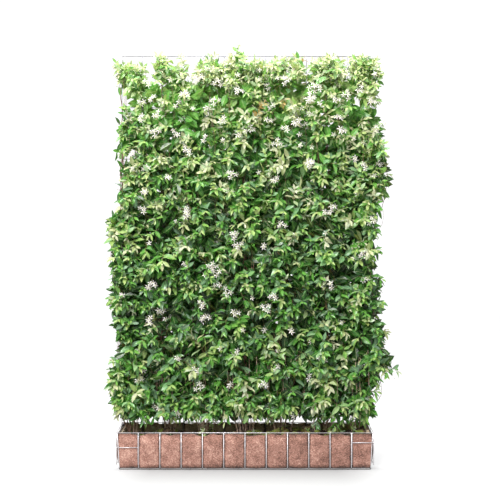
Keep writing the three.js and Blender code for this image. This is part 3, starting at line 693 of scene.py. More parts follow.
def end_panels():
    """A panel closes each end and wraps one cell round both corners of the basket."""
    for name, (side, rail) in PANEL_RAILS.items():
        shape = bmesh.new()
        near = side * (LENGTH / 2 - PITCH + 2 * MM)
        far = side * PANEL_X
        bar(shape, (far, 0, PANEL_FOOT), (far, 0, BASKET_TOP))
        for y in (-PANEL_Y, PANEL_Y):
            for x in (near, far):
                bar(shape, (x, y, PANEL_FOOT), (x, y, BASKET_TOP))
            bar(shape, (near, y, rail), (far, y, rail), THIN_WIRE_RADIUS)
            weld(shape, (near, y, rail))
            weld(shape, (far, y, rail))
        for z in (PANEL_FOOT + OVERHANG, rail, BASKET_TOP - OVERHANG):
            bar(shape, (far, -PANEL_Y, z), (far, PANEL_Y, z), THIN_WIRE_RADIUS)
        finished("wires_of_" + name, shape, [WIRE], [name])


def trellis_mesh():
    """Thirteen upright wires with eight rails welded across their backs."""
    shape = bmesh.new()
    for i in range(HOOPS):
        bar(shape, (wire_x(i), TRELLIS_Y, TRELLIS_FOOT), (wire_x(i), TRELLIS_Y, TRELLIS_TOP))
    for k in range(RAILS):
        z = RAIL_FIRST + k * RAIL_STEP
        bar(shape, (-LENGTH / 2 - OVERHANG, RAIL_Y, z), (LENGTH / 2 + OVERHANG, RAIL_Y, z))
        for i in range(HOOPS):
            weld(shape, (wire_x(i), RAIL_Y - 1.5 * MM, z))
    finished("trellis_wires", shape, [SHADED_WIRE], ["trellis"])


# ---- liner and soil
def slice_along(shape, axis, first, step, cuts):
    """Cuts the whole shape square to an axis, at the first place and so many in all."""
    normal = Vector([float(axis == i) for i in range(3)])
    for k in range(cuts):
        everything = shape.verts[:] + shape.edges[:] + shape.faces[:]
        point = normal * (first + step * k)
        bmesh.ops.bisect_plane(shape, geom=everything, plane_co=point, plane_no=normal, dist=1e-6)


def pillow(share, sharpness=0.4):
    """0 at a wire, where share is whole, and 1 half way to the next, as cloth between ropes."""
    return abs(math.sin(math.pi * share)) ** sharpness


def belly(x):
    """How far the mat bellies out at x along the basket, from 0 at a wire to 1."""
    inner = LENGTH / 2 - PITCH
    past = abs(x) - inner
    return pillow(past / (LINER_END - inner)) if past > 0 else pillow((x + LENGTH / 2) / PITCH)


def mat_push(x, z):
    """How far the mat stands out in front of the plane of its wires' inner side."""
    fat = 1.0 if abs(x) < LENGTH / 2 - PITCH else 0.5
    below_rim = min(1.0, (LINER_RIM - z) / (45 * MM))
    return (-0.8 + 9.0 * fat * belly(x) * (0.3 + 0.7 * below_rim)) * MM


def end_push(y, z):
    """How far an end of the mat stands out: it leans with the corner wires and swells
    between them and the middle wire of the end panel."""
    across = abs(y) / LINER_HALF
    at_corner = min(1.0, (1.02 - across) / 0.3) ** 0.5
    swell = pillow(min(z, LINER_RIM) / LINER_RIM, 0.5) * (0.5 + 0.5 * pillow(across)) * at_corner
    return (10 * z / BASKET_TOP + 17 * swell) * MM


def round_off(shape, edges, radius, segments):
    """Rounds the edges of a shape."""
    bmesh.ops.bevel(
        shape, geom=edges, offset=radius, segments=segments, profile=0.5, affect="EDGES", material=-1
    )


def coir_liner():
    """A trough of needled coir that bellies out between the wires, sags here and there below
    the front top rail and is rounded along its rim and its lower edges."""
    shape = bmesh.new()
    block = bmesh.ops.create_cube(shape, size=1)["verts"]
    bmesh.ops.scale(shape, vec=(2 * LINER_END, 2 * LINER_HALF, LINER_RIM - LINER_FOOT), verts=block)
    bmesh.ops.translate(shape, vec=Vector((0, 0, (LINER_RIM + LINER_FOOT) / 2)), verts=block)
    top = [face for face in shape.faces if face.normal.z > 0.9]
    bmesh.ops.inset_region(shape, faces=top, thickness=LINER_WALL)
    inner = [face for face in shape.faces if face.normal.z > 0.9 and face.calc_area() > 0.15]
    pushed = bmesh.ops.extrude_face_region(shape, geom=inner)["geom"]
    floor = [part for part in pushed if isinstance(part, bmesh.types.BMVert)]
    bmesh.ops.translate(shape, vec=Vector((0, 0, LINER_FLOOR - LINER_RIM)), verts=floor)
    bmesh.ops.delete(shape, geom=inner, context="FACES_ONLY")
    long_edges = [
        edge for edge in shape.edges
        if all(abs(abs(v.co.y) - LINER_HALF) < NEAR and abs(v.co.z - LINER_FOOT) < NEAR for v in edge.verts)
        and abs(edge.verts[0].co.x - edge.verts[1].co.x) > LINER_HALF
    ]
    round_off(shape, long_edges, LINER_ROUND, 5)
    rim_edges = []
    for edge in shape.edges:
        one, other = (vert.co for vert in edge.verts)
        level = min(one.z, other.z) > LINER_RIM - NEAR
        if level and (abs(one.x - other.x) < NEAR or abs(one.y - other.y) < NEAR):
            rim_edges.append(edge)
    round_off(shape, rim_edges, RIM_ROUND, 3)
    bmesh.ops.recalc_face_normals(shape, faces=shape.faces)
    for face in shape.faces:
        middle = face.calc_center_median()
        faces_in = face.normal.y * middle.y < -1e-3 or face.normal.x * middle.x < -1e-3
        face.material_index = 1 if faces_in and middle.z > LINER_FLOOR else 0
    step = PITCH / 12
    slice_along(shape, 0, -LINER_END + 0.004, step, math.ceil(2 * LINER_END / step))
    slice_along(shape, 1, -0.080, 0.010, 17)
    slice_along(shape, 2, 0.036, 0.0068, 20)
    bmesh.ops.remove_doubles(shape, verts=shape.verts, dist=NEAR)
    for vert in shape.verts:
        x, y, z = vert.co
        front_or_back = abs(y) > LINER_HALF - LINER_WALL / 2 and z > LINER_FOOT + 1e-4
        end = abs(x) > LINER_END - LINER_WALL / 2
        if front_or_back:
            vert.co.y += math.copysign(mat_push(x, z), y)
        if end:
            vert.co.x += math.copysign(end_push(y, z), x)
        near_rim = max(0.0, 1 - (LINER_RIM - z) / 0.020)
        dip = noise.noise(Vector((x / 0.055, math.copysign(3, y), 0.5)))
        tuft = noise.noise(Vector((x / 0.018, math.copysign(7, y), 0.5)))
        if y < 0:
            vert.co.z -= near_rim * (2 + 15 * max(0.0, dip + 0.1)) * MM
        else:
            vert.co.z += near_rim * (2 + 3 * dip + 6 * tuft) * MM
        if z < LINER_FOOT + 0.02 and abs(y) < LINER_HALF:
            continue
        for size, depth in ((0.045, 1.6), (0.016, 1.3), (0.006, 0.8)):
            vert.co += noise.noise_vector(vert.co / size) * depth * MM
    bmesh.ops.recalc_face_normals(shape, faces=shape.faces)
    finished("coir_mat", shape, [COIR, STAINED_LIT_COIR], ["coir_liner"])


def coir_fibres():
    """Loose ends of fibre that lie on the mat and stand out of its rim. They are drawn three
    times as thick as real ones, to show."""
    shape = bmesh.new()
    for _ in range(FIBRES):
        x = draw.uniform(-LINER_END, LINER_END)
        on_rim = draw.random() < 0.4
        front = -1 if draw.random() < 0.6 else 1
        if on_rim:
            z = LINER_RIM + (0.001 if front > 0 else -0.004)
            root = Vector((x, front * (LINER_HALF - draw.uniform(0.002, 0.010)), z))
            heading = Vector((draw.uniform(-1, 1), draw.uniform(-0.5, 0.5), draw.uniform(-0.05, 0.6)))
        else:
            low_down = draw.random() < 0.2
            z = draw.uniform(0.003, 0.014) if low_down else draw.uniform(0.014, LINER_RIM - 0.006)
            root = Vector((x, front * (LINER_HALF + mat_push(x, z) - 0.4 * MM), z))
            heading = Vector((draw.uniform(-1, 1), front * 0.10, draw.uniform(-1, 1)))
        heading.normalize()
        length = draw.uniform(0.006, 0.018)
        bend = Vector((draw.uniform(-0.4, 0.4), front * 0.15, draw.uniform(-0.4, 0.4))) * length
        path = [root, root + heading * length / 2, root + heading * length + bend]
        for point in path:
            point.z = max(point.z, 1 * MM)
        thick = draw.uniform(0.3, 0.5) * MM
        tube(shape, path, [thick, thick * 0.8, thick * 0.3], sides=3)
    finished("coir_fibres", shape, [COIR])


def potting_soil():
    """The compost in the liner: a block with a crumbly top."""
    shape = bmesh.new()
    block = bmesh.ops.create_cube(shape, size=1)["verts"]
    width, depth = 2 * INNER_END - 1 * MM, 2 * INNER_HALF - 1 * MM
    bmesh.ops.scale(shape, vec=Vector((width, depth, 1)), verts=block)
    slice_along(shape, 0, -0.57, 0.010, 115)
    slice_along(shape, 1, -0.077, 0.011, 15)
    for vert in shape.verts:
        if vert.co.z > 0:
            x, y = vert.co.x, vert.co.y
            rough = 4 * noise.noise(Vector((x, y, 0)) / 0.025) + 2 * noise.noise(Vector((x, y, 3)) / 0.009)
            vert.co.z = soil_height(x, y) + rough * MM
        else:
            vert.co.z = LINER_FLOOR + 0.5 * MM
    for _ in range(CRUMBS):
        x, y = draw.uniform(-width / 2, width / 2) * 0.985, draw.uniform(-depth / 2, depth / 2) * 0.95
        crumb = bmesh.ops.create_icosphere(shape, subdivisions=1, radius=1)["verts"]
        bmesh.ops.scale(shape, vec=drawn_vector(1.8 * MM, 6 * MM), verts=crumb)
        angle = draw.uniform(0, math.pi)
        axle = Vector((draw.random(), draw.random(), draw.random() + 0.1))
        bmesh.ops.rotate(shape, matrix=Matrix.Rotation(angle, 3, axle), verts=crumb)
        bmesh.ops.translate(shape, vec=Vector((x, y, soil_height(x, y) + 2 * MM)), verts=crumb)
    finished("compost", shape, [SOIL], ["potting_soil"])


def moss_mound():
    """Moss grows up to the rim in the right-hand corner and in small cushions elsewhere."""
    shape = bmesh.new()
    cushions = list(MOSS_CUSHIONS)
    for _ in range(SMALL_CUSHIONS):
        x = draw.uniform(0.0, 0.56) if draw.random() < 0.8 else draw.uniform(-0.5, 0)
        y, radius = draw.uniform(-0.06, 0.075), draw.uniform(0.008, 0.020)
        cushions.append((x, y, radius, draw.uniform(0.004, 0.010)))
    for x, y, radius, height in cushions:
        fine = 3 if radius > 0.02 else 2
        dome = bmesh.ops.create_icosphere(shape, subdivisions=fine, radius=1)["verts"]
        bmesh.ops.scale(shape, vec=Vector((radius, radius * 0.8, height * 1.6)), verts=dome)
        bmesh.ops.translate(shape, vec=Vector((x, y, soil_height(x, y) - 0.2 * height)), verts=dome)
        for vert in dome:
            lumps = noise.noise_vector(vert.co / 0.012) * 2.2 * MM
            vert.co += lumps + noise.noise_vector(vert.co / 0.004) * 1.0 * MM
            vert.co.x = min(vert.co.x, INNER_END - 1 * MM)
            vert.co.y = max(min(vert.co.y, INNER_HALF - 1 * MM), -INNER_HALF + 1 * MM)
    finished("moss_cushions", shape, [MOSS])


# ---- leaves
def add_leaf(shape, length, width, arch, fold, age, place, steps=5, sheen_cap=1.0):
    """A leaf along +X with its face up: a short stalk and a pointed oval blade, folded up
    along its rib, waved at its edges and arched down to its tip."""
    youth, sheen_and_dying_layer = shape.verts.layers.float["age"], shape.verts.layers.float["sheen_and_dying"]
    blade = bmesh.ops.create_grid(shape, x_segments=steps, y_segments=2, size=0.5, calc_uvs=True)["verts"]
    # One value a leaf: a high one gives it the painted sheen, a very low one makes it a dying leaf.
    wave, sheen_and_dying = draw.uniform(0, FULL_TURN), draw.random() * sheen_cap
    for vert in blade:
        along, across = vert.co.x + 0.5, 2 * vert.co.y
        past_stalk = max(0.0, (along - 0.06) / 0.94)
        half = 0.5 * width * math.sin(math.pi * past_stalk**0.86) ** 0.9 + 0.4 * MM * (1 - along)
        ripple = 0.03 * length * math.sin(8 * along + wave) * across**2
        lift = fold * half * across**2 + ripple - arch * length * along**2
        vert.co = Vector((length * along * (1 - 0.25 * arch * along), half * across, lift))
        vert[youth] = age
        vert[sheen_and_dying_layer] = sheen_and_dying
        for edge in vert.link_edges:
            edge.smooth = any(abs(end.co.y) > 1e-7 for end in edge.verts)
    bmesh.ops.transform(shape, matrix=place, verts=blade)


def facing(ahead, face):
    """The turn that lays +X along ahead and +Z as near to face as it can."""
    ahead = ahead.normalized()
    over = face - face.project(ahead)
    over = over.normalized() if over.length > 1e-4 else ahead.orthogonal().normalized()
    aside = over.cross(ahead)
    return Matrix((ahead, aside, over)).transposed().to_4x4()


def side_shoot(pairs, gap, pitch, turn):
    """A side shoot along +X: an arched twig with a pair of leaves at each joint, every pair
    a quarter turn from the last, with smaller and younger leaves towards its tip. pitch is
    its slope at the root and turn what it bends up or down on its way, in degrees."""
    shape = new_shape()
    path = [Vector((0, 0, 0))]
    slope = math.radians(pitch)
    for k in range(pairs + 1):
        slope += math.radians(turn) / (pairs + 1)
        path.append(path[-1] + gap * (1 - 0.06 * k) * Vector((math.cos(slope), 0, math.sin(slope))))
    radii = [(1.3 - 0.8 * k / (pairs + 1)) * MM for k in range(pairs + 2)]
    tube(shape, path, radii, sides=3, material=1)
    quarter = draw.uniform(0, math.pi)
    for k in range(1, pairs + 2):
        share = (k - 1) / pairs
        ahead = (path[k] - path[k - 1]).normalized()
        aside = Vector((0, 1, 0))
        over = ahead.cross(aside) * -1
        for half_turn in (0, math.pi):
            angle = quarter + k * math.pi / 2 + half_turn + draw.uniform(-0.25, 0.25)
            outward = aside * math.cos(angle) + over * math.sin(angle)
            spread = 1.0 - 0.35 * share
            heading = ahead * (0.35 + 0.5 * share) + outward * spread - UP * draw.uniform(-0.25, 0.45)
            face = Vector((0.75, 0, 0.65)) + drawn_vector(-0.4, 0.4)
            size = draw.uniform(0.85, 1.12) * (1 - 0.5 * share**1.6)
            place = Matrix.Translation(path[k]) @ facing(heading, face)
            age = 0.18 + 0.36 * share + draw.uniform(-0.08, 0.08)
            width = LEAF_WIDTH * size * draw.uniform(0.85, 1.1)
            arch, fold = draw.uniform(0.0, 0.35), draw.uniform(0.15, 0.5)
            add_leaf(shape, LEAF_LENGTH * size, width, arch, fold, age, place)
    return template(shape)


def lone_leaf():
    """One old leaf from the shaded middle of the plant."""
    shape = new_shape()
    # Capping the value at 0.5 keeps the painted sheen off these leaves.
    add_leaf(
        shape, length=LEAF_LENGTH * 1.15, width=LEAF_WIDTH * 1.5, arch=0.2, fold=0.25, age=0.05,
        place=Matrix.Identity(4), steps=4, sheen_cap=0.5,
    )
    return template(shape)


def sprouts(shoots):
    """Weeds and young shoots that come up through the soil."""
    shape = new_shape()
    for x, y, size in SPROUTS:
        foot = Vector((x * MM, y * MM, soil_height(x * MM, y * MM) - 2 * MM))
        turn = Matrix.Rotation(draw.uniform(0, FULL_TURN), 4, "Z")
        place = Matrix.Translation(foot) @ turn @ Matrix.Scale(size, 4)
        add_copy(shape, draw.choice(shoots["up"]), place, draw.uniform(0.15, 0.35))
    finished("soil_sprouts", shape, [LEAF, TWIG])


class Skin:
    """The outside of one plant's foliage in the model, to grow leaves from."""

    def __init__(self, index):
        self.x = plant_x(index)
        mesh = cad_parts[f"vine_{index + 1}_leaves"].data
        self.corners = []
        self.reach = []
        mesh.calc_loop_triangles()
        total = 0.0
        for triangle in mesh.loop_triangles:
            a, b, c = (mesh.vertices[i].co.copy() for i in triangle.vertices)
            middle = (a + b + c) / 3
            if abs(triangle.normal.y) > 0.9 and BY_TRELLIS[0] < middle.y < BY_TRELLIS[1]:
                continue
            total += triangle.area
            self.corners.append((a, b, c, triangle.normal.copy()))
            self.reach.append(total)

    def spot(self):
        """A random point on the skin and the way out from it."""
        (a, b, c, normal), = draw.choices(self.corners, cum_weights=self.reach)
        p, q = draw.random(), draw.random()
        if p + q > 1:
            p, q = 1 - p, 1 - q
        point = a + (b - a) * p + (c - a) * q
        from_core = Vector((0.4 * (point.x - self.x), point.y - TRELLIS_Y, 0)).normalized()
        return point, (from_core + 0.35 * normal).normalized()


def edges_at(z):
    """The x that the screen's foliage reaches on the left and on the right at a height."""
    return float(np.interp(z, *LEFT_EDGE)), float(np.interp(z, *RIGHT_EDGE))


def thin_at(low, high, margin=0.0):
    """True if the heart of the box from low to high comes into a thin spot, or within that
    margin of it."""
    (left, right), (foot, top) = (
        [(1 - share) * low[axis] + share * high[axis] for share in HEART] for axis in (0, 2)
    )
    for middle, height, wide, tall in THIN_SPOTS:
        x, z = min(max(middle, left), right), min(max(height, foot), top)
        if ((x - middle) / (wide + margin)) ** 2 + ((z - height) / (tall + margin)) ** 2 < 1:
            return True
    return False


def extent(mesh, place):
    """The lowest and the highest x, y and z of a copy of a template."""
    points = np.empty(3 * len(mesh.vertices), dtype=np.float32)
    mesh.vertices.foreach_get("co", points)
    turned = points.reshape(-1, 3) @ np.array(place.to_3x3()).T + np.array(place.translation)
    return turned.min(axis=0), turned.max(axis=0)


def in_room(mesh, place, top, spare=0.0):
    """True if a copy of a template stays below top and in the room that the plants have. spare
    is how far it may pass the sides."""
    low, high = extent(mesh, place)
    left, right = edges_at((low[2] + high[2]) / 2)
    return (
        not thin_at(low, high)
        and low[0] > left - spare and high[0] < right + spare
        and low[1] > FOLIAGE_FRONT and high[1] < FOLIAGE_BACK
        and low[2] > LOWEST_TIP and high[2] < top
    )


def ramp_up(value, start, end):
    """How far a value has come from start to end, from 0 to 1."""
    return max(0.0, min(1.0, (value - start) / (end - start)))


def column_half_width(z):
    """How far to each side of its stem a plant's foliage spreads: less near the top."""
    return 0.105 - 0.015 * ramp_up(z, 1.84, 1.96)


def youth_at(z):
    """Leaves are younger and yellower towards the top."""
    return -0.075 + 0.17 * ramp_up(z, 0.9, 1.5) + 0.12 * ramp_up(z, 1.4, 1.85)


def grow_shade_leaves(shape, x, shade_leaves):
    """Old leaves fill the dark middle of the plant, on both sides of the trellis."""
    for _ in range(SHADE_LEAVES_PER_PLANT):
        z = draw.uniform(FOLIAGE_FOOT + 0.01, 1.86)
        left, right = edges_at(z)
        spot = Vector((x + draw.uniform(-0.1, 0.1), LEADER_Y + draw.gauss(0, 0.026), z))
        heading = Vector((draw.uniform(-1, 1), draw.uniform(-0.3, 0.3), draw.uniform(-1, 0.4)))
        face = Vector((draw.gauss(0, 0.4), draw.choice((-1, 1)), draw.gauss(0.3, 0.3)))
        if left + 0.065 < spot.x < right - 0.065 and not thin_at(spot, spot, 0.035):
            place = Matrix.Translation(spot) @ facing(heading, face)
            # Their low age paints them the darkest green: partly the real colour of old leaves, partly
            # painted shade for the plant's dark middle.
            age = draw.uniform(-0.05, 0.12) + 0.08 * ramp_up(z, 1.1, 1.5) + 0.25 * ramp_up(z, 1.5, 1.8)
            add_copy(shape, draw.choice(shade_leaves), place, age)


def sideways(ways, scatter):
    """A turn to the front, -1, or to the back, 1, as drawn from the ways, give or take."""
    return draw.choice(ways) * math.pi / 2 + draw.gauss(0, scatter)


def grow_shoot(shape, kind, root, yaw, size, age, reach=None):
    """Adds a side shoot, if it has room. reach moves it until its tip is exactly so far: the
    axis, 1 or -1 for the way along it and where the tip ends."""
    turn = Matrix.Rotation(yaw, 4, "Z") @ Matrix.Rotation(draw.gauss(0, 0.25), 4, "X")
    place = Matrix.Translation(root) @ turn @ Matrix.Scale(size, 4)
    if reach:
        axis, way, tip = reach
        shift = Vector((0, 0, 0))
        shift[axis] = tip - float(extent(kind, place)[1 if way > 0 else 0][axis])
        place = Matrix.Translation(shift) @ place
    if not in_room(kind, place, *((TALLEST_TIP, SPARE) if reach else (FOLIAGE_TOP, 0.0))):
        return False
    add_copy(shape, kind, place, age)
    return True


def grow_crown(shape, x, shoots):
    """Young shoots fill the plant's top, up to just above the highest rail, and a few stand
    out of it."""
    for _ in range(CROWN_SHOOTS_PER_PLANT):
        away = draw.uniform(-0.1, 0.1)
        root = Vector((x + away, LEADER_Y + draw.gauss(-0.01, 0.03), 0))
        tip = draw.uniform(1.865, 1.972 - 0.25 * abs(away))
        grow_shoot(
            shape, draw.choice(shoots["up"] + shoots["level"]), root, sideways((-1, -1, 1), 0.8),
            draw.uniform(0.6, 0.9), youth_at(tip) + draw.gauss(0.0, 0.16), (2, 1, tip),
        )
    for tip_x, tip in TOP_TIPS:
        if abs(tip_x - x) > PLANT_STEP / 2:
            continue
        for k in range(SHOOTS_PER_TIP):
            root = Vector((tip_x + draw.gauss(0, 0.008), LEADER_Y + draw.gauss(-0.005, 0.01), 0))
            yaw = sideways((-1, 1), 0.5)
            reach = (2, 1, tip - draw.uniform(0.025, 0.035) * k)
            grow_shoot(
                shape, draw.choice(shoots["up"][2:]), root, yaw, draw.uniform(0.6, 0.8),
                youth_at(tip) + draw.gauss(0.03, 0.08), reach,
            )


def foliage(index, shoots, shade_leaves):
    """One plant's leaves: side shoots all over its skin and in its crown, others that hang
    from its lowest twigs and old leaves in its shade."""
    skin = Skin(index)
    shape = new_shape()
    grow_shade_leaves(shape, skin.x, shade_leaves)
    grow_crown(shape, skin.x, shoots)
    grown = 0
    for _ in range(5 * SHOOTS_PER_PLANT):
        if grown == SHOOTS_PER_PLANT:
            break
        point, out = skin.spot()
        if abs(point.x - skin.x) > column_half_width(point.z):
            continue
        level = ramp_up(point.z, 0.3, 2.0)
        lift = draw.gauss(0.15 + 0.45 * level**3, 0.35)
        kinds = shoots["up"] if lift > 0.55 else shoots["level"] if lift > 0.0 else shoots["down"]
        flush = draw.random()
        age = youth_at(point.z) + draw.gauss(0, 0.10) + (0.34 if flush < 0.16 else 0)
        if level > 0.85 and flush > 0.985:
            age += 0.45
        grown += grow_shoot(
            shape, draw.choice(kinds), point - out * draw.uniform(0.030, 0.055),
            math.atan2(out.y, out.x) + draw.gauss(0, 0.5),
            draw.uniform(0.85, 1.25) * (1 - 0.22 * level**2), age,
        )
    for side, height, tip in EDGE_SHOOTS:
        if side * skin.x < LENGTH / 2 - PLANT_STEP / 2:
            continue
        for _ in range(SHOOTS_PER_TIP):
            root = Vector((0, LEADER_Y + draw.gauss(0, 0.03), height + draw.gauss(0, 0.014)))
            yaw = (0 if side > 0 else math.pi) + draw.gauss(0, 0.35)
            grow_shoot(
                shape, draw.choice(shoots["level"]), root, yaw, draw.uniform(0.85, 1.1),
                youth_at(height) + draw.gauss(0.12, 0.1), (0, side, tip - side * draw.uniform(0, 0.03)),
            )
    for _ in range(LOW_SHOOTS_PER_PLANT):
        root = Vector((skin.x + draw.uniform(-0.1, 0.1), LEADER_Y + draw.gauss(-0.03, 0.03), 0))
        root.z = FOLIAGE_FOOT + draw.uniform(0.02, 0.12)
        grow_shoot(
            shape, draw.choice(shoots["down"] + shoots["level"]), root,
            sideways((-1, -1, -1, 1), 0.7), draw.uniform(0.9, 1.25), draw.gauss(-0.06, 0.15),
        )
    finished(f"jasmine_leaves_{index + 1}", shape, [LEAF, TWIG], [f"vine_{index + 1}_leaves"])


# ---- stems
def vine_stems(index):
    """Three woody strands rise from the plant's crown and twist round each other on their
    way up the trellis."""
    node_name = f"vine_{index + 1}_stem"
    verts = [v.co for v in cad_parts[node_name].data.vertices]
    foot = [v for v in verts if v.z < 0.10]
    crown = sum((v.copy() for v in foot), Vector()) / len(foot)
    x = plant_x(index)
    shape = bmesh.new()
    side = draw.uniform(0, math.pi)
    for strand in range(STRANDS):
        phase = side + 2 * math.pi * strand / STRANDS
        fan = math.cos(phase)
        points = [
            crown.copy(),
            crown + Vector((0.006 * fan, 0.004 * math.sin(phase), 0.060)),
            crown.lerp(Vector((x, LEADER_Y, 0)), 0.45) + Vector((0.020 * fan, 0.006 * math.sin(phase), 0)),
            Vector((x + 0.016 * fan, LEADER_Y - 0.010, 0.285)),
        ]
        points[2].z = 0.215
        z = 0.33
        top = 1.86 - 0.25 * strand + draw.uniform(-0.05, 0.05)
        while z < top:
            wind = phase + 2 * math.pi * z / TWIST_LENGTH
            wide = 0.0085 * (1 - 0.35 * z / 2)
            points.append(
                Vector((x + wide * math.cos(wind), LEADER_Y - 0.006 + 0.5 * wide * math.sin(wind), z))
            )
            z += TWIST_LENGTH / 5
        path = smooth_path(points, 3)
        thick = (3.6 - 0.6 * strand) * MM
        radii = [
            thick * (1.35 - 0.35 * min(1, max(0, (p.z - 0.1) / 0.15))) * (1 - 0.55 * max(0, p.z - 0.3) / 1.6)
            * (1 + 0.10 * noise.noise(p / 0.02))
            for p in path
        ]
        tube(shape, path, radii, sides=7)
    grow_canes(shape, x)
    finished(f"woody_stems_{index + 1}", shape, [BARK], [node_name])


def grow_canes(shape, x):
    """Thin canes leave the main stem, spread over the trellis and sway up through it."""
    for _ in range(CANES_PER_PLANT):
        start, climb = draw.uniform(0.22, 1.60), draw.uniform(0.22, 0.42)
        left, right = edges_at(start + climb)
        aside = max(left + 0.05 - x, min(right - 0.05 - x, draw.uniform(-0.095, 0.095)))
        ahead = draw.choice((-1, -1, 1)) * draw.uniform(0.010, 0.050 + 0.040 * ramp_up(start, 0.9, 1.4))
        sway = draw.uniform(0, FULL_TURN)
        points = [Vector((x, LEADER_Y, start))]
        for k in range(1, 6):
            spread = min(1.0, k * 0.45)
            across = x + aside * spread + 0.010 * math.sin(sway + k)
            depth = LEADER_Y + ahead * spread + 0.006 * math.cos(sway + k)
            points.append(Vector((across, depth, start + climb * k / 5)))
        path = smooth_path(points, 2)
        thick = draw.uniform(0.9, 1.6) * MM
        tube(shape, path, [thick * (1 - 0.5 * k / len(path)) for k in range(len(path))], sides=4)


def bare_shoots():
    """Thin young stems that rise from the soil between the crowns, on the way to the foliage."""
    shape = bmesh.new()
    for index in range(PLANTS):
        x = plant_x(index)
        crown = Vector((CROWN_SHARE * x, 0.018 + 0.014 * math.sin(2.1 * index), 0))
        for _ in range(YOUNG_STEMS_PER_PLANT):
            away = draw.uniform(-0.085, 0.085)
            if abs(x + away) > LENGTH / 2:
                away = -away
            ahead = draw.uniform(0.01, 0.085)
            foot = Vector((crown.x + 0.35 * away, crown.y + draw.uniform(-0.02, 0.01), 0.10))
            points = [
                foot,
                Vector((crown.x + 0.6 * away, crown.y - 0.3 * ahead, 0.20)),
                Vector((x + away, LEADER_Y - ahead, draw.uniform(0.27, 0.30))),
                Vector((x + away * 1.1, LEADER_Y - 0.8 * ahead, draw.uniform(0.38, 0.55))),
            ]
            path = smooth_path(points, 4)
            thick = draw.uniform(1.3, 2.3) * MM
            tube(shape, path, [thick * (1 - 0.4 * k / len(path)) for k in range(len(path))], sides=5)
    finished("young_stems", shape, [LIGHTENED_BARK])


# ---- flowers
def add_star(shape, place):
    """One flower on its tube: five petals, narrow at the throat and slanted at the end,
    each turned like a blade of a propeller."""
    cup = bmesh.ops.create_cone(
        shape, cap_ends=False, segments=5, radius1=0.8 * MM, radius2=1.5 * MM, depth=8 * MM,
    )["verts"]
    bmesh.ops.translate(shape, vec=Vector((0, 0, -4 * MM)), verts=cup)
    bmesh.ops.transform(shape, matrix=place, verts=cup)
    for k in range(5):
        petal = bmesh.ops.create_grid(shape, x_segments=3, y_segments=2, size=0.5, calc_uvs=True)["verts"]
        for vert in petal:
            along, across = vert.co.x + 0.5, 2 * vert.co.y
            half = (0.8 + 3.9 * along**1.3 - 1.3 * along**4) * MM
            out = (1.0 + 12.0 * along + 2.0 * across * along) * MM
            lift = (1.8 * math.sin(2.6 * along) + 1.6 * across * along - 2.2 * along**2) * MM
            vert.co = Vector((out, across * half + 3.4 * along**2 * MM, lift))
        turn = place @ Matrix.Rotation(2 * math.pi * k / 5, 4, "Z")
        bmesh.ops.transform(shape, matrix=turn, verts=petal)


def flower_cluster(stars, buds, spread):
    """A cluster along +X: green stalks that fork from one twig, each with an open flower or
    a closed bud at its end."""
    shape = new_shape()
    fork = Vector((0, 0, 0))
    twig = [Vector((-0.050, 0, -0.006)), Vector((-0.024, 0, -0.004)), fork]
    tube(shape, twig, [1.0 * MM, 0.9 * MM, 0.8 * MM], sides=3, material=1)
    for k in range(stars + buds):
        open_flower = k < stars
        angle = 2.4 * k + draw.uniform(-0.3, 0.3)
        wide = spread * math.sqrt((k + 0.4) / (stars + buds)) * draw.uniform(0.8, 1.1)
        end = Vector((0.016 + draw.uniform(-0.005, 0.007), wide * math.cos(angle), wide * math.sin(angle)))
        facing_way = (Vector((0.9, 0, 0.15)) + end * 26 + drawn_vector(-0.3, 0.3)).normalized()
        foot = end - facing_way * (8 if open_flower else 5) * MM
        stalk = [fork, (fork + foot) / 2 + Vector((0.002, 0, 0)), foot]
        tube(shape, stalk, [0.7 * MM, 0.55 * MM, 0.7 * MM], sides=3, material=1)
        spin = Matrix.Rotation(draw.uniform(0, 2), 4, "Z")
        aim = Matrix.Translation(end) @ facing_way.to_track_quat("Z", "Y").to_matrix().to_4x4() @ spin
        if open_flower:
            add_star(shape, aim @ Matrix.Scale(draw.uniform(0.88, 1.08), 4))
        else:
            bud = bmesh.ops.create_uvsphere(shape, u_segments=5, v_segments=4, radius=1)["verts"]
            bmesh.ops.scale(shape, vec=Vector((1.5 * MM, 1.5 * MM, 5.5 * MM)), verts=bud)
            bmesh.ops.transform(shape, matrix=aim, verts=bud)
    return template(shape)


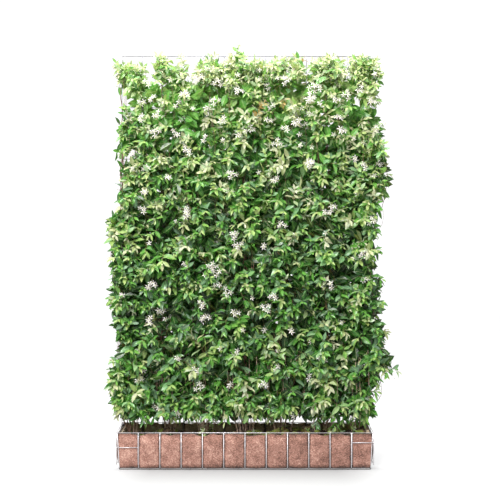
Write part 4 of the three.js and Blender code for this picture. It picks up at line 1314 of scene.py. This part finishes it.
def flowers(clusters):
    """The model's flower clusters, each where its node is, and more on the front and the
    back of the foliage."""
    shape = new_shape()
    names = sorted(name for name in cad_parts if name.startswith("flowers_"))
    for name in names:
        low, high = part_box(name)
        middle = (Vector(low) + Vector(high)) / 2
        out = Vector((0, -1 if middle.y < TRELLIS_Y else 1, 0))
        place = Matrix.Translation(middle + out * 0.004) @ facing(out, UP)
        turn = Matrix.Rotation(draw.uniform(0, FULL_TURN), 4, "X")
        add_copy(shape, draw.choice(clusters[3:]), place @ turn)
    finished("star_flowers", shape, [PETAL, TWIG], names)

    surfaces = []
    for index in range(PLANTS):
        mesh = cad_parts[f"vine_{index + 1}_leaves"].data
        surfaces.append(
            BVHTree.FromPolygons([v.co for v in mesh.vertices], [p.vertices[:] for p in mesh.polygons])
        )
    back = [(draw.uniform(-640, 640), draw.uniform(450, 1850)) for _ in range(FLOWERS_BEHIND)]
    shape = new_shape()
    for way, places in ((-1, MORE_FLOWERS), (1, back)):
        for x, z in places:
            start = Vector((x * MM, way * 0.4, z * MM))
            hits = [tree.ray_cast(start, Vector((0, -way, 0)))[0] for tree in surfaces]
            hits = [hit for hit in hits if hit]
            if hits:
                nearest = min(hits, key=lambda hit: (hit - start).length)
            elif z < LOWEST_SKIN:
                nearest = Vector((x * MM, LEADER_Y + way * 0.06, z * MM))
            else:
                continue
            out = Vector((draw.uniform(-0.3, 0.3), way, draw.uniform(-0.1, 0.3))).normalized()
            lifted = nearest + Vector((0, way * draw.uniform(0.006, 0.022), 0))
            place = Matrix.Translation(lifted) @ facing(out, UP)
            turn = Matrix.Rotation(draw.uniform(0, FULL_TURN), 4, "X")
            add_copy(shape, draw.choice(clusters), place @ turn)
    finished("more_star_flowers", shape, [PETAL, TWIG])


# ---- build
wire_basket()
end_panels()
trellis_mesh()
coir_liner()
coir_fibres()
potting_soil()
moss_mound()

SHOOTS = {
    "up": [side_shoot(3 + k % 3, gap=0.021, pitch=50 + 6 * k, turn=-20) for k in range(4)],
    "level": [side_shoot(2 + k % 3, gap=0.019, pitch=12 - 6 * k, turn=-35 + 12 * k) for k in range(6)],
    "down": [side_shoot(3 + k % 3, gap=0.020, pitch=-18 - 8 * k, turn=-25) for k in range(4)],
}
SHADE_LEAVES = [lone_leaf() for _ in range(6)]
for plant in range(PLANTS):
    foliage(plant, SHOOTS, SHADE_LEAVES)
    vine_stems(plant)
bare_shoots()
sprouts(SHOOTS)

CLUSTERS = [flower_cluster(stars=1 + k // 2, buds=1 + k % 3, spread=0.013 + 0.0025 * k) for k in range(8)]
flowers(CLUSTERS)


# ---- stage
def stage_plane(name, half, turn, place, colour, glow, shadow_share=1):
    """A square of white acrylic to stand on or in front of."""
    shape = bmesh.new()
    verts = bmesh.ops.create_grid(shape, x_segments=1, y_segments=1, size=half)["verts"]
    bmesh.ops.rotate(shape, matrix=Matrix.Rotation(turn, 3, "X"), verts=verts)
    bmesh.ops.translate(shape, vec=Vector(place), verts=verts)
    acrylic = white_studio_acrylic("white_studio_" + name, colour, glow, shadow_share)
    in_scene(name, to_mesh(name, shape, [acrylic], smooth=False))


# The floor's glow holds a painted shadow along the planter's front foot.
stage_plane("floor", half=9, turn=0, place=(0, 0, -0.0005), colour="#7d7d7d", glow=0.80, shadow_share=0.27)
stage_plane("backdrop", half=4.5, turn=math.pi / 2, place=(0, 6.5, 3.0), colour="#4c4c4c", glow=1.0)

world = bpy.data.worlds.new("studio")
world.use_nodes = True
background = world.node_tree.nodes["Background"].inputs
background["Color"].default_value = (0.97, 0.98, 1, 1)
background["Strength"].default_value = 0.28


def softbox(name, place, target, width, depth, power):
    """A studio light of that width and depth, turned to its target."""
    lamp = bpy.data.lights.new(name, "AREA")
    lamp.shape = "RECTANGLE"
    lamp.size = width
    lamp.size_y = depth
    lamp.energy = power
    obj = in_scene(name, lamp)
    obj.location = place
    obj.rotation_euler = (Vector(target) - Vector(place)).to_track_quat("-Z", "Y").to_euler()


softbox("key", place=(-1.6, -3.2, 4.2), target=(0, 0, 1.0), width=2.4, depth=2.4, power=530)
softbox("overhead_strip", place=(0, 0, 4.3), target=(0, 0, 0), width=3.0, depth=0.5, power=180)

camera_data = bpy.data.cameras.new("camera")
camera_data.lens = 61.3
camera_data.sensor_width = 36
camera_data.shift_x = 0.010
camera_data.shift_y = -0.065
camera = in_scene("camera", camera_data)
camera.location = (0, -4.1, 1.185)
camera.rotation_euler = (math.pi / 2, 0, 0)

scene = bpy.context.scene
scene.world = world
scene.camera = camera
scene.view_settings.view_transform = "Standard"
